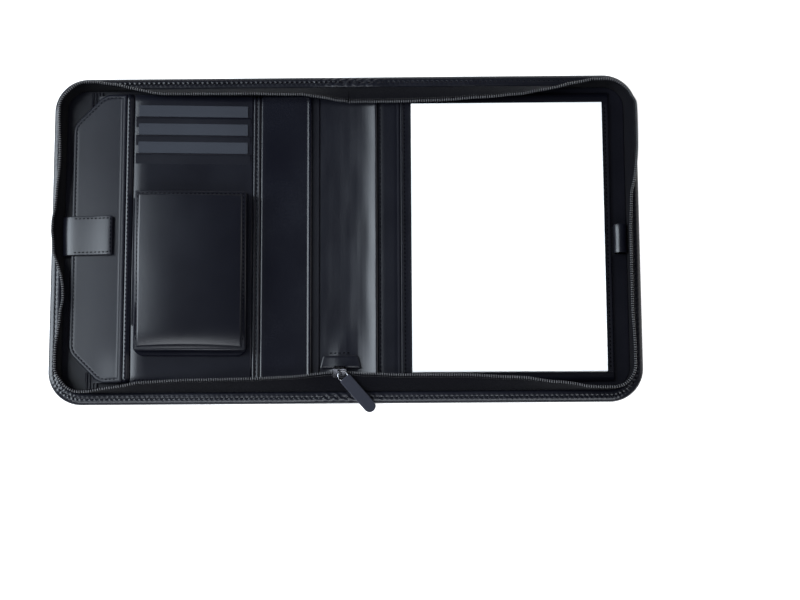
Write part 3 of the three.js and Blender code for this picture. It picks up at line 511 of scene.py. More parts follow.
# %% Panels of leather
def panel(
    corners, top, thickness, roll=0.5 * mm, seam=0.0, cell=5 * mm, groove=0.22 * mm, hold=0.0, also=()
):
    bm = bmesh.new()
    outline_face(bm, corners, top - roll)
    face = list(bm.faces)
    face[0].material_index = 1
    inset_face(bm, face, [(0.3 * roll, 0.62 * roll), (0.7 * roll, 0.38 * roll)])
    if not seam:
        inset_face(bm, face, [(1.2 * roll, 0)])
    if seam:
        face = square_corners(bm, corners, roll, seam + 0.7 * mm)
        inset_face(bm, face, [(seam - roll - 0.7 * mm, 0), (0.7 * mm, -groove), (0.7 * mm, groove)])
    if hold:
        inset_face(bm, face, [(hold, 0)])
    low = Vector((min(v.co.x for v in bm.verts), min(v.co.y for v in bm.verts), 0))
    high = Vector((max(v.co.x for v in bm.verts), max(v.co.y for v in bm.verts), 0))
    for axis in (0, 1):
        count = max(1, round((high[axis] - low[axis]) / cell))
        places = [low[axis] + (high[axis] - low[axis]) * i / count for i in range(1, count)]
        for at in sorted(places + [p for k, p in also if k == axis]):
            cut_inner(bm, axis == 0, at)
    for f in bm.faces:
        f.material_index = 0
    # The rim mask marks the rolled edge, whose colour the leathers lighten: part scuffing, part painted
    # highlight.
    rim = bm.verts.layers.float.new("rim")
    for v in bm.verts:
        v[rim] = 1.0 if v.co.z < top - 0.5 * roll else 0.0
    edges = [e for e in bm.edges if e.is_boundary]
    walls = bmesh.ops.extrude_edge_only(bm, edges=edges)["geom"]
    bmesh.ops.translate(bm, verts=new_verts(walls), vec=(0, 0, roll - thickness))
    bmesh.ops.holes_fill(bm, edges=[e for e in bm.edges if e.is_boundary], sides=0)
    return bm


def reshape(bm, rise):
    for v in bm.verts:
        v.co.z += rise(v.co.x, v.co.y)


def rectangle(left, right, bottom, top, fillet=0.0):
    return [(left, bottom, fillet), (right, bottom, fillet), (right, top, fillet), (left, top, fillet)]


def wave(x, y, depth, span, seed=0.0):
    return depth * noise.noise(Vector((x / span, y / span, seed)))


# %% [markdown]
# Stitches are thousands of small threads, so one stitch is a low ball of a few dozen faces, drawn
# out long, and a row copies it along a path at an even pitch. Each copy is dropped onto the piece
# that it sews and sunk by a part of its thickness, as a pulled thread is.

# %% Rows of stitches
stitch_length, stitch_width, stitch_pitch = 2.1 * mm, 1.2 * mm, 3.1 * mm

stitch_form = bpy.data.meshes.new("stitch_form")
bm = bmesh.new()
bmesh.ops.create_uvsphere(bm, u_segments=6, v_segments=5, radius=0.5)
bmesh.ops.rotate(bm, verts=bm.verts, matrix=Matrix.Rotation(math.pi / 2, 3, "Y"))
bmesh.ops.scale(bm, verts=bm.verts, vec=(stitch_length, stitch_width, 0.65 * mm))
bm.to_mesh(stitch_form)
bm.free()


def place_copies(bm, form, matrices):
    for matrix in matrices:
        start = len(bm.verts)
        bm.from_mesh(form)
        bm.verts.ensure_lookup_table()
        bmesh.ops.transform(bm, matrix=matrix, verts=bm.verts[start:])


def along_path(path, pitch):
    """Points at an even pitch along a path of points, each with the way ahead."""
    lengths = [0.0]
    for a, b in zip(path, path[1:]):
        lengths.append(lengths[-1] + (b - a).length)
    count = int(lengths[-1] / pitch)
    start = (lengths[-1] - count * pitch) / 2 + pitch / 2
    found = []
    for i in range(count):
        at = start + i * pitch
        k = max(j for j, reached in enumerate(lengths) if reached <= at)
        k = min(k, len(path) - 2)
        share = (at - lengths[k]) / max(lengths[k + 1] - lengths[k], 1e-9)
        found.append((path[k].lerp(path[k + 1], share), (path[k + 1] - path[k]).normalized()))
    return found


# %% [markdown]
# A seam is sewn by laying each stitch's two ends on the skin of its carrier, so that it follows
# the slope there. The path is the panel's outline moved inwards, or a straight row.

# %% Sewing along a path
def sew(name, carrier, paths, pitch=stitch_pitch, slant=8, sink=0.03 * mm, size=1.0):
    bm = bmesh.new()
    for path in paths:
        matrices = []
        for at, ahead in along_path([Vector((x, y, 0)) for x, y in path], pitch):
            ends = [at - ahead * stitch_length / 2, at + ahead * stitch_length / 2]
            low, high = (Vector((e.x, e.y, skin_height(carrier, e.x, e.y))) for e in ends)
            middle = Vector((at.x, at.y, skin_height(carrier, at.x, at.y) - sink))
            run = (high - low).normalized()
            side = Vector((0, 0, 1)).cross(run).normalized()
            turn = Matrix((run, side, run.cross(side))).transposed().to_4x4()
            turned = turn @ Matrix.Rotation(math.radians(slant), 4, "Z") @ Matrix.Scale(size, 4)
            matrices.append(Matrix.Translation(middle) @ turned)
        place_copies(bm, stitch_form, matrices)
    return make_piece(name, bm, thread)


def inset_path(corners, inset, keep=lambda x, y: True):
    """The outline moved inwards, as one open path of the stretch that keep allows."""
    bm = bmesh.new()
    outline_face(bm, corners, 0)
    bm.faces.ensure_lookup_table()
    bm.faces[0].material_index = 1
    face = square_corners(bm, corners, 0, inset)
    inset_face(bm, face, [(inset, 0)])
    bmesh.ops.subdivide_edges(bm, edges=face[0].edges, cuts=24)
    loop = [(v.co.x, v.co.y) for v in face[0].verts]
    bm.free()
    kept = [keep(x, y) for x, y in loop]
    if all(kept):
        return loop + loop[:1]
    start = next(i for i in range(len(loop)) if kept[i] and not kept[i - 1])
    turned = loop[start:] + loop[:start]
    return turned[:sum(kept)]


def upright(x, bottom, top, margin=2 * mm):
    """One straight row of stitches up a strip, a little short of both its ends."""
    return [[(x, bottom + margin), (x, top - margin)]]


# %% [markdown]
# The edge strip, the tapes and the teeth all follow the rim of the case: straight sides and round
# corners. A place on this route is counted in stretches, 0 at the top of the spine, one for each
# straight or corner, 5 at the foot of the spine. The right half is the left half turned round.

# %% The route round the rim
foot_inset = 9.3 * mm
tape_width, tape_thickness, tape_knee = 15.2 * mm, 0.8 * mm, 2 * mm
chain_width = 2.6 * mm
chain_place = tape_width + gap + chain_width / 2
foot_height = 3.3 * mm
zip_top, slider_x = 3 * mm, -3.6 * mm
straight_x, straight_y = half_width - corner_radius, half_height - corner_radius


def station(along, inset, top_x, foot_x):
    """Point on the left half of the route, and the way inwards there."""
    stretch = min(int(along), 4)
    share = along - stretch
    if stretch in (1, 3):
        angle = math.radians(90 * (1 + share) if stretch == 1 else 90 * (2 + share))
        out = Vector((math.cos(angle), math.sin(angle), 0))
        centre = Vector((-straight_x, straight_y if stretch == 1 else -straight_y, 0))
        return centre + out * (corner_radius - inset), -out
    if stretch == 0:
        return Vector((top_x + (-straight_x - top_x) * share, half_height - inset, 0)), Vector((0, -1, 0))
    if stretch == 2:
        return Vector((inset - half_width, straight_y * (1 - 2 * share), 0)), Vector((1, 0, 0))
    return Vector((-straight_x + (foot_x + straight_x) * share, inset - half_height, 0)), Vector((0, 1, 0))


def station_of(x, y, top_x, foot_x):
    """The other way round: a point's place along the route, and its inset from the rim."""
    if x < -straight_x and abs(y) > straight_y:
        first = 1 if y > 0 else 3
        dx, dy = x + straight_x, abs(y) - straight_y
        angle = math.atan2(-dx, dy) if y > 0 else math.atan2(dy, -dx)
        return first + angle / (math.pi / 2), corner_radius - math.hypot(dx, dy)
    if x < -straight_x:
        return 2 + (straight_y - y) / (2 * straight_y), x + half_width
    if y > 0:
        return (top_x - x) / (top_x + straight_x), half_height - y
    return 4 + (x + straight_x) / (foot_x + straight_x), y + half_height


halves = {
    "left": {"turn": 1, "top": zip_top - gap / 2, "foot": slider_x - gap / 2},
    "right": {"turn": -1, "top": -slider_x - gap / 2, "foot": -zip_top - gap / 2},
}

# %% [markdown]
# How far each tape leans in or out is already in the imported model's teeth. Their vertices are
# turned back into places on the route, and the middle of each section gives the lean there.

# %% Lean of the tapes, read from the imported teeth
def measured_leans(side):
    half = halves[side]
    sections = {}
    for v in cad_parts[f"zip_chain_{side}"].data.vertices:
        along, inset = station_of(v.co.x * half["turn"], v.co.y * half["turn"], half["top"], half["foot"])
        sections.setdefault(round(along, 3), []).append(inset - foot_inset)
    places = sorted(sections)
    middles = [(min(sections[p]) + max(sections[p])) / 2 for p in places]
    return places, [(m - tape_thickness / 2) / (chain_place - tape_knee) for m in middles]


for side in halves:
    halves[side]["leans"] = measured_leans(side)
    print(side, "sections:", len(halves[side]["leans"][0]))


def lean_at(side, along):
    return float(np.interp(along, *halves[side]["leans"]))


tape_bow = 0.7 * mm


def on_tape(side, along, distance, off=0.0):
    """Point on a tape, some distance from its foot and off its middle, with the axes there."""
    half = halves[side]
    base, inwards = station(along, foot_inset, half["top"], half["foot"])
    lean = max(-0.98, min(0.98, lean_at(side, along)))
    rise = math.sqrt(1 - lean * lean)
    beyond = distance - tape_knee
    bow = tape_bow * 4 * max(0, distance / tape_width) * (1 - min(1, distance / tape_width))
    if beyond < 0:
        across, up, out = tape_thickness / 2, distance, Vector((1, 0))
    else:
        across = tape_thickness / 2 + lean * beyond - bow * lean
        up = tape_knee + rise * beyond + bow * abs(lean)
        out = Vector((rise, -lean))
    across += out.x * off
    up += out.y * off
    point = base + inwards * across + Vector((0, 0, foot_height + up))
    outer = inwards * lean + Vector((0, 0, rise))
    normal = inwards * out.x + Vector((0, 0, out.y))
    turn = half["turn"]
    return [Vector((p.x * turn, p.y * turn, p.z)) for p in (point, outer, normal)]


# %% [markdown]
# Long curved strips start as a flat grid, one row of squares for each step along and one column
# for each step round the section. Every vertex then moves to its place, the seam where the grid
# meets itself is merged, and open ends are closed.

# %% Bent grids
def bent_grid(rows, columns, place, flat=None):
    bm = bmesh.new()
    bmesh.ops.create_grid(bm, x_segments=rows, y_segments=columns, size=0.5)
    spots = {v: (round((v.co.x + 0.5) * rows), round((v.co.y + 0.5) * columns)) for v in bm.verts}
    if flat:
        uv = bm.loops.layers.uv.new("along")
        for f in bm.faces:
            for loop in f.loops:
                loop[uv].uv = flat(*spots[loop.vert])
    for v, (i, j) in spots.items():
        v.co = place(i, j)
    bmesh.ops.remove_doubles(bm, verts=bm.verts, dist=1e-7)
    ends = [e for e in bm.edges if e.is_boundary]
    if ends:
        bmesh.ops.holes_fill(bm, edges=ends, sides=0)
    return bm


def even_stations(side, distance, pitch):
    """Places along a half that are evenly spaced on the tape at that distance."""
    fine = [5 * i / 3000 for i in range(3001)]
    points = [on_tape(side, along, distance)[0] for along in fine]
    lengths = np.concatenate([[0], np.cumsum([(b - a).length for a, b in zip(points, points[1:])])])
    count = int(lengths[-1] / pitch)
    reached = (np.arange(count) + 0.5) * lengths[-1] / count
    return [float(a) for a in np.interp(reached, lengths, fine)], float(lengths[-1])


# %% [markdown]
# The zip tape is a woven band that is sewn down at its foot and stands up from there, waving in
# and out along its free edge. A grid bent over the measured leans gives the waves, and its UV map
# keeps the length along and the distance across, for the weave.

# %% Zip tapes
tape_columns = [0, 1, 2, 3.5, 5.5, 8, 10.5, 13, 15.2]


def tape(side):
    stops, length = even_stations(side, tape_width / 2, 4 * mm)
    stops = [0.0] + stops + [5.0]
    ring = [(d * mm, tape_thickness / 2) for d in tape_columns]
    ring += [(d * mm, -tape_thickness / 2) for d in reversed(tape_columns)]
    ring.append(ring[0])

    def place(i, j):
        distance, off = ring[j]
        ripple = wave(5 * stops[i], distance / mm / 40, 0.25 * mm, 0.25, 3.0) * distance / tape_width
        point = on_tape(side, stops[i], distance, off + ripple)[0]
        if i in (0, len(stops) - 1):
            point.x += 0.45 * gap * halves[side]["turn"]
        return point

    def flat(i, j):
        return (stops[i] / 5 * length, ring[j][0] if j < len(ring) - 1 else ring[0][0])

    bm = bent_grid(len(stops) - 1, len(ring) - 1, place, flat)
    return make_piece(f"woven_tape_{side}", bm, woven_tape, [f"zip_tape_{side}"], sharp=50)


for side in halves:
    tape(side)

# %% [markdown]
# The teeth of this zip are a nylon coil: one thread wound in tight loops along the tape's edge,
# each loop with two legs on the tape and a head outside it. One loop is a circle drawn out, spun
# half round and drawn back, and some hundreds of copies make each row.

# %% Zip teeth
tooth_pitch, tooth_radius, tooth_spread = 1.75 * mm, 0.42 * mm, 0.66 * mm

tooth_form = bpy.data.meshes.new("tooth_form")
bm = bmesh.new()
bmesh.ops.create_circle(bm, cap_ends=False, segments=6, radius=tooth_radius)
bmesh.ops.rotate(bm, verts=bm.verts, matrix=Matrix.Rotation(math.pi / 2, 3, "Y"))
bmesh.ops.translate(bm, verts=bm.verts, vec=(0, 0, tooth_spread))
leg = chain_width + 0.6 * mm - tooth_spread - tooth_radius
drawn = bmesh.ops.extrude_edge_only(bm, edges=bm.edges[:])["geom"]
bmesh.ops.translate(bm, verts=new_verts(drawn), vec=(leg, 0, 0))
ring = [g for g in drawn if isinstance(g, bmesh.types.BMEdge)]
spun = bmesh.ops.spin(bm, geom=ring, cent=(leg, 0, 0), axis=(0, 1, 0), angle=math.pi, steps=4)["geom_last"]
drawn = bmesh.ops.extrude_edge_only(bm, edges=[g for g in spun if isinstance(g, bmesh.types.BMEdge)])["geom"]
bmesh.ops.translate(bm, verts=new_verts(drawn), vec=(-leg, 0, 0))
bmesh.ops.holes_fill(bm, edges=[e for e in bm.edges if e.is_boundary], sides=0)
bmesh.ops.recalc_face_normals(bm, faces=bm.faces)
bm.to_mesh(tooth_form)
print("faces of one tooth:", len(bm.faces))
bm.free()


def teeth(side):
    stops, _ = even_stations(side, chain_place, tooth_pitch)
    matrices = []
    for along in stops:
        root, outer, normal = on_tape(side, along, tape_width - 0.5 * mm)
        ahead = normal.cross(outer).normalized()
        turn = Matrix((outer, ahead, outer.cross(ahead))).transposed().to_4x4()
        matrices.append(Matrix.Translation(root) @ turn)
    bm = bmesh.new()
    place_copies(bm, tooth_form, matrices)
    return make_piece(f"coil_teeth_{side}", bm, coil, [f"zip_chain_{side}"])


for side in halves:
    teeth(side)

# %% [markdown]
# The legs of the coil are sewn to the tape over a round cord, so only the heads of the loops are
# bare. That black sewn edge is a slim tube along the tape.

# %% Sewn edge of the coil
sewn_width, sewn_height, sewn_sides = 1.15 * mm, 1.35 * mm, 10


def sewn_edge(side):
    stops, _ = even_stations(side, chain_place, 3 * mm)
    stops = [0.0] + stops + [5.0]

    def place(i, j):
        angle = 2 * math.pi * (j % sewn_sides) / sewn_sides
        distance = tape_width + 0.5 * mm + sewn_width * math.cos(angle)
        return on_tape(side, stops[i], distance, sewn_height * math.sin(angle))[0]

    return make_piece(f"sewn_coil_edge_{side}", bent_grid(len(stops) - 1, sewn_sides, place), thread)


for side in halves:
    sewn_edge(side)

# %% [markdown]
# The cover is a stiff board under smooth leather, with a soft spine between two folds. It is a
# panel made face down: its outer face has a stitched groove near the rim and two hinge folds.

# %% Outer cover
low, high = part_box("outer_cover")
cover_corners = rectangle(low.x, high.x, low.y, high.y, corner_radius - 1.5 * mm)
fold_places = (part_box("lining_left")[1].x + 2 * mm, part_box("lining_right")[0].x - 2 * mm)
fold_depth, fold_reach = 0.7 * mm, 2.6 * mm
also = [(0, at + step * mm) for at in fold_places for step in (-2.6, -1.3, 0, 1.3, 2.6)]
bm = panel(cover_corners, high.z, high.z - low.z, 0.7 * mm, 3 * mm, 9 * mm, also=also)


def fold(x):
    near = min(abs(x - at) for at in fold_places)
    return fold_depth * (0.5 + 0.5 * math.cos(math.pi * min(near / fold_reach, 1)))


for v in bm.verts:
    v.co.z = high.z - v.co.z if v.co.z < 0.1 * mm else high.z - v.co.z + fold(v.co.x)
make_piece("cover_leather", bm, cover_leather, ["outer_cover"], sharp=50)

# %% [markdown]
# The edge strip is one band of leather turned over the rim all round and stitched down its middle.
# The pull of each stitch wrinkles it into small slanting ridges, it gathers in folds at the round
# corners, and it puckers where the spine bends. Its section is drawn once, as shares of its width.

# %% Turned edge strip
strip_section = [
    (1.2, 0.6), (0.3, 0.6), (0.04, 1.2), (0.0, 2.0), (0.3, 2.75), (0.95, 3.35), (1.9, 3.85), (3.0, 4.2),
    (3.9, 4.25), (4.5, 4.05), (5.1, 4.3), (5.9, 4.5), (7.2, 4.5), (8.4, 4.25), (8.9, 3.7), (9.0, 2.9),
    (1.2, 2.9),
]
strip_seam = 4.5 * mm
strip_step = 0.95 * mm
edge_pitch = 3.8 * mm
spine_middle = sum(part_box("spine_lining")[k].x for k in (0, 1)) / 2
pucker_span, pucker_count, pucker_height = 60 * mm, 9, 1.5 * mm
corner_folds, gather_height = 11, 0.34 * mm


def strip_stations():
    found = []
    run = 0.0
    for turn in (1, -1):
        for stretch in range(5):
            a, b = (station(stretch + share, 0, 0, 0)[0] for share in (0.0, 0.999999))
            straight = stretch % 2 == 0
            length = (b - a).length if straight else corner_radius * math.pi / 2
            count = math.ceil(length / strip_step)
            for i in range(count):
                found.append((turn, stretch + i / count, run + length * i / count))
            run += length
    return found


strip_stops = strip_stations()
print("steps round the strip:", len(strip_stops))

# %% [markdown]
# Over that section lie three kinds of low relief: a slanted ridge at every stitch, puckers over
# the spine and small gathers round the corners.

# %% Relief of the edge strip
def strip_rise(x, y, along, run, across):
    near_seam = math.exp(-(((across - strip_seam) / (1.7 * mm)) ** 2))
    slanted = run + 0.9 * (across - strip_seam)
    ridge = 0.32 * mm * math.cos(2 * math.pi * slanted / edge_pitch) * near_seam
    share = (x - spine_middle) / pucker_span + 0.5
    pucker = 0.0
    if 0 < share < 1:
        skew = (across - strip_seam) / (40 * mm)
        pucker = abs(math.sin(math.pi * pucker_count * (share + skew))) * math.sin(math.pi * share)
        pucker *= pucker_height * (0.7 + 0.5 * noise.noise(Vector((x * 260, y * 4, 0))))
    stretch = int(along) % 5
    gather = 0.0
    if stretch in (1, 3):
        share = along - int(along)
        drift = 2.2 * noise.noise(Vector((share * 7, across * 300, 0)))
        folds = 0.5 + 0.5 * math.cos(2 * math.pi * corner_folds * share + drift)
        gather = gather_height * folds * math.sin(math.pi * share) * min(1, across / (3 * mm))
    return ridge + pucker + gather + wave(x, y, 0.12 * mm, 9 * mm, 1.0)


def strip_place(i, j):
    turn, along, run = strip_stops[i % len(strip_stops)]
    across, up = (value * mm for value in strip_section[j % len(strip_section)])
    base, inwards = station(along, 0, 0, 0)
    point = (base + inwards * across) * turn
    lifted = up + strip_rise(point.x, point.y, along, run, across) * min(1, max(0, (up - 3 * mm) / mm))
    return Vector((point.x, point.y, lifted))


bm = bent_grid(len(strip_stops), len(strip_section), strip_place)
make_piece("turned_edge_strip", bm, edge_leather, ["edge_binding"], sharp=70)
seam_path = [station(along, strip_seam, 0, 0)[0] * turn for turn, along, _ in strip_stops]
seam_path = [(p.x, p.y) for p in seam_path + seam_path[:1]]
sew("edge_strip_stitches", "turned_edge_strip", [seam_path], edge_pitch, slant=28, sink=0.0, size=1.1)

# %% [markdown]
# Thin leather lines the inside of both covers. It is glued down, so it only waves a little.

# %% Side linings
for side in ("left", "right"):
    node_name = f"lining_{side}"
    low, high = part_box(node_name)
    round_end = corner_radius - foot_inset - 1.1 * mm
    fillets = (round_end, 0, 0, round_end) if side == "left" else (0, round_end, round_end, 0)
    corners = [(x, y, f) for (x, y, _), f in zip(rectangle(low.x, high.x, low.y, high.y), fillets)]
    bm = panel(corners, high.z, high.z - low.z, 0.25 * mm, cell=7 * mm)
    reshape(bm, lambda x, y: wave(x, y, 0.12 * mm, 35 * mm, 2.0))
    make_piece(f"inner_leather_{side}", bm, lining_leather, [node_name], sharp=60)

# %% [markdown]
# The spine leather is loose, so that the case can close. Lying open, it hangs between the covers,
# steeper and steeper towards its right side, where it rolls over. Its profile is a short list of
# shares of its width and heights, and small creases run up from the tab at its foot.

# %% Spine leather
low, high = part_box("spine_lining")
spine_low = low
spine_thickness = 1.4 * mm
spine_profile = [
    (0.0, 4.6), (0.15, 4.7), (0.35, 4.98), (0.52, 5.4), (0.65, 5.87), (0.74, 6.32), (0.8, 6.72), (0.85, 7.17),
    (0.9, 7.78), (0.94, 8.4), (0.97, 8.85), (0.985, 8.85), (1.0, 8.3),
]
spine_rows, spine_columns = 64, 130
dent_x, dent_y = 4 * mm, low.y + 36 * mm


def spine_top(x):
    across = (x - low.x) / (high.x - low.x)
    return float(np.interp(across, *zip(*spine_profile))) * mm


def spine_bulge(x, y):
    """Towards its foot the leather swells up on the left of the crease."""
    foot = max(0, 1 - (y - spine_low.y) / (45 * mm))
    swell = 2.2 * mm * foot / (1 + math.exp(-(x + 9 * mm) / (2.4 * mm)))
    return swell * min(1, max(0, (10 * mm - x) / (9 * mm)))


def spine_crease(x, y):
    foot = max(0, 1 - (y - low.y) / (38 * mm))
    ray = (x - dent_x) / (5 * mm + 9 * mm * foot)
    dent = -0.9 * mm * foot * math.exp(-(ray ** 2)) if y < dent_y else 0.0
    line = (x - (-7 * mm)) - 0.12 * (y - low.y)
    fold = 0.35 * mm * math.exp(-((line / (2.2 * mm)) ** 2)) * foot
    return dent + fold + spine_bulge(x, y) + wave(x, y / 4, 0.16 * mm, 9 * mm, 4.0)


def spine_press(x, y):
    """At its upper end the tape leans over the roll and presses it down."""
    roll = max(0, spine_top(x) - 6.4 * mm)
    return 0.55 * roll * max(0, 1 - (high.y - y) / (9 * mm))


def spine_place(i, j):
    x = low.x + (high.x - low.x) * i / spine_rows
    y = low.y + (high.y - low.y) * j / spine_columns
    edge = min(1, (x - low.x) / (4 * mm), (high.x - x) / (2 * mm))
    return Vector((x, y, spine_top(x) + spine_crease(x, y) * max(edge, 0) - spine_press(x, y)))


def sheet_grid(rows, columns, place, thickness):
    """A bent grid with its underside: the copy that the extrusion makes moves down."""
    bm = bmesh.new()
    bmesh.ops.create_grid(bm, x_segments=rows, y_segments=columns, size=0.5)
    for v in bm.verts:
        v.co = place(round((v.co.x + 0.5) * rows), round((v.co.y + 0.5) * columns))
    made = bmesh.ops.extrude_face_region(bm, geom=bm.faces[:], use_keep_orig=True)["geom"]
    bmesh.ops.translate(bm, verts=new_verts(made), vec=(0, 0, -thickness))
    return bm


bm = sheet_grid(spine_rows, spine_columns, spine_place, spine_thickness)
make_piece("spine_leather", bm, front_leather, ["spine_lining"], sharp=50)

# %% [markdown]
# The front of the file pocket is three panels sewn together. It rises like a wedge from its inner
# seam to the ridge beside the card panel and falls a little from there to its open left edge,
# which is why the edge panel is the one that catches the light from the left.

# %% File pocket: heights and the edge panel
pocket_opening, edge_drop = 8 * mm, 2.8 * mm
card_low, card_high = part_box("card_panel")
welt_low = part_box("seam_welt")[0]
edge_low, edge_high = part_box("pocket_edge_panel")
pocket_top = card_high.y
pocket_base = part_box("lining_left")[1].z + 2 * gap
panel_thickness = 1.8 * mm
padded_roll, holding_ring = 0.6 * mm, 0.8 * mm


def pocket_lift(x):
    climb = min(1, max(0, (card_high.x - x) / (card_high.x - welt_low.x)))
    fall = min(1, max(0, (welt_low.x - x) / (welt_low.x - edge_low.x)))
    return pocket_opening * climb - edge_drop * fall


chamfer, chamfer_fillet = 24 * mm, 5 * mm
edge_corners = [
    (edge_high.x, -pocket_top, 0), (edge_high.x, pocket_top, 0),
    (edge_low.x + chamfer, pocket_top, chamfer_fillet), (edge_low.x, pocket_top - chamfer, chamfer_fillet),
    (edge_low.x, chamfer - pocket_top, chamfer_fillet), (edge_low.x + chamfer, -pocket_top, chamfer_fillet),
]
edge_seam = 2.7 * mm
bm = panel(
    edge_corners, pocket_base + panel_thickness, panel_thickness, padded_roll, edge_seam,
    hold=holding_ring,
)


def edge_swell(x, y):
    across = (x - edge_low.x) / (edge_high.x - edge_low.x)
    beside = (x - edge_high.x + 3 * mm) / (9 * mm)
    above = (y + pocket_top - 9 * mm) / (13 * mm)
    curl = math.exp(-(beside ** 2) - above ** 2)
    swell = 0.15 * mm * math.sin(math.pi * min(1, max(0, across)))
    return swell + 1.1 * mm * curl + wave(x, y, 0.25 * mm, 60 * mm, 5.0)


reshape(bm, lambda x, y: pocket_lift(x) + edge_swell(x, y))
make_piece("edge_panel_leather", bm, pocket_leather, ["pocket_edge_panel"], sharp=60)
path = inset_path(edge_corners, edge_seam, lambda x, y: x < edge_high.x - 4 * mm)
sew("edge_panel_stitches", "edge_panel_leather", [path])

# %% [markdown]
# The seam between the edge panel and the card panel is a folded ridge with stitches on its left
# flank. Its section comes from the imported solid: the end face of a merged copy, its corners
# rounded with a vertex bevel, drawn out along the pocket in many short steps.

# %% Strips drawn from a solid's own section
def end_section(node_name):
    """The face at the low-Y end of a solid, as a new bmesh with that face alone."""
    bm = bmesh.new()
    bm.from_mesh(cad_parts[node_name].data)
    bmesh.ops.remove_doubles(bm, verts=bm.verts, dist=1e-6)
    low_y = min(v.co.y for v in bm.verts)
    others = [f for f in bm.faces if max(v.co.y for v in f.verts) > low_y + 0.01 * mm]
    bmesh.ops.delete(bm, geom=others, context="FACES")
    bmesh.ops.dissolve_limit(bm, angle_limit=0.01, verts=bm.verts, edges=bm.edges)
    return bm


def drawn_strip(node_name, soften, steps, end_round=0.4 * mm):
    bm = end_section(node_name)
    low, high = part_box(node_name)
    if soften:
        bmesh.ops.bevel(
            bm, geom=bm.verts[:], offset=soften, offset_type="OFFSET", affect="VERTICES",
            segments=3, profile=0.5, material=-1, clamp_overlap=True,
        )
    made = bmesh.ops.extrude_face_region(bm, geom=bm.faces[:], use_keep_orig=True)["geom"]
    bmesh.ops.translate(bm, verts=new_verts(made), vec=(0, high.y - low.y, 0))
    caps = [f for f in bm.faces if len(f.verts) > 4]
    bmesh.ops.inset_individual(bm, faces=caps, thickness=end_round / 2, depth=end_round / 3)
    bmesh.ops.triangulate(bm, faces=[f for f in bm.faces if len(f.verts) > 4])
    long_edges = [e for e in bm.edges if abs(e.verts[0].co.y - e.verts[1].co.y) > (high.y - low.y) * 0.8]
    bmesh.ops.subdivide_edges(bm, edges=long_edges, cuts=steps, use_grid_fill=True)
    bmesh.ops.recalc_face_normals(bm, faces=bm.faces)
    # A weaker rim mask along the top of each section paints the ridge's top lighter: part scuffing, part
    # painted highlight.
    rim = bm.verts.layers.float.new("rim")
    top = {}
    for v in bm.verts:
        top[round(v.co.y, 4)] = max(top.get(round(v.co.y, 4), -1), v.co.z)
    for v in bm.verts:
        v[rim] = 0.6 if v.co.z > top[round(v.co.y, 4)] - 0.3 * mm else 0.0
    return bm


# %% [markdown]
# Two seams are made so: the folded ridge of the pocket's front and the twin ridges beside the card
# panel.

# %% Seams of the pocket
seam_pitch, seam_steps = 3.2 * mm, 60
bm = drawn_strip("seam_welt", 0.35 * mm, seam_steps)
reshape(bm, lambda x, y: wave(x, y, 0.12 * mm, 22 * mm, 6.0))
make_piece("seam_welt_leather", bm, front_leather, ["seam_welt"], sharp=70)
welt_seam = welt_low.x + 1.4 * mm
welt_row = upright(welt_seam, -pocket_top, pocket_top)
sew("seam_welt_stitches", "seam_welt_leather", welt_row, seam_pitch, size=0.85)

bm = drawn_strip("inner_welt", 0.3 * mm, seam_steps)
reshape(bm, lambda x, y: wave(x, y, 0.1 * mm, 26 * mm, 7.0))
make_piece("inner_welt_leather", bm, front_leather, ["inner_welt"], sharp=70)
low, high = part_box("inner_welt")
inner_seam = (low.x + high.x) / 2 + 0.2 * mm
inner_row = upright(inner_seam, low.y, high.y)
sew("inner_welt_stitches", "inner_welt_leather", inner_row, seam_pitch, size=0.85)

# %% [markdown]
# The card panel has three slots. Each one is a slit whose lower lip stands up a little over a grey
# slot lining. The panel is one sheet, and each lip is a thin strip on it that is highest and
# rounded at its upper edge and runs out flat below.

# %% Card panel with its lips
slot_count, slot_width, slot_pitch, slot_from_top = 3, 88 * mm, 14.5 * mm, 18 * mm
lip_run, lip_thickness, lip_columns = 8 * mm, 0.4 * mm, 44
card_middle = (card_low.x + card_high.x) / 2
card_corners = rectangle(card_low.x, card_high.x, -pocket_top, pocket_top)
card_top = pocket_base + panel_thickness
bm = panel(card_corners, card_top, panel_thickness, 0.45 * mm, 0, 6 * mm)


def card_dip(x):
    """The sheet turns down a little where it meets the seam on its left."""
    near = max(0, 1 - (x - card_low.x) / (7 * mm))
    return 1.3 * mm * near * near


reshape(bm, lambda x, y: pocket_lift(x) - card_dip(x) + wave(x, y, 0.15 * mm, 60 * mm, 8.0))


def lip_y(i):
    return pocket_top - slot_from_top - i * slot_pitch


lip_rows = [
    (0.4, -0.6), (0.0, 0.35), (-0.25, 0.75), (-0.7, 0.92), (-1.6, 0.9), (-4, 0.55), (-lip_run / mm, 0.02),
]
for i in range(slot_count):
    def lip_place(row, column, i=i):
        step, rise = lip_rows[row]
        x = card_middle + slot_width * (column / lip_columns - 0.5)
        sag = 0.25 * mm * math.cos(math.pi * (column / lip_columns - 0.5))
        y = lip_y(i) + step * mm - sag
        return Vector((x, y, card_top + rise * mm + pocket_lift(x)))

    take_in(bm, sheet_grid(len(lip_rows) - 1, lip_columns, lip_place, lip_thickness))
make_piece("card_panel_leather", bm, front_leather, ["card_panel"], sharp=55)
card_seam_y = -pocket_top + 2 * mm
card_row = [(card_low.x + 2 * mm, card_seam_y), (card_high.x - 2 * mm, card_seam_y)]
sew("card_panel_stitches", "card_panel_leather", [card_row])

# %% [markdown]
# The grey linings lie on the panel, each with its lower edge under a lip.

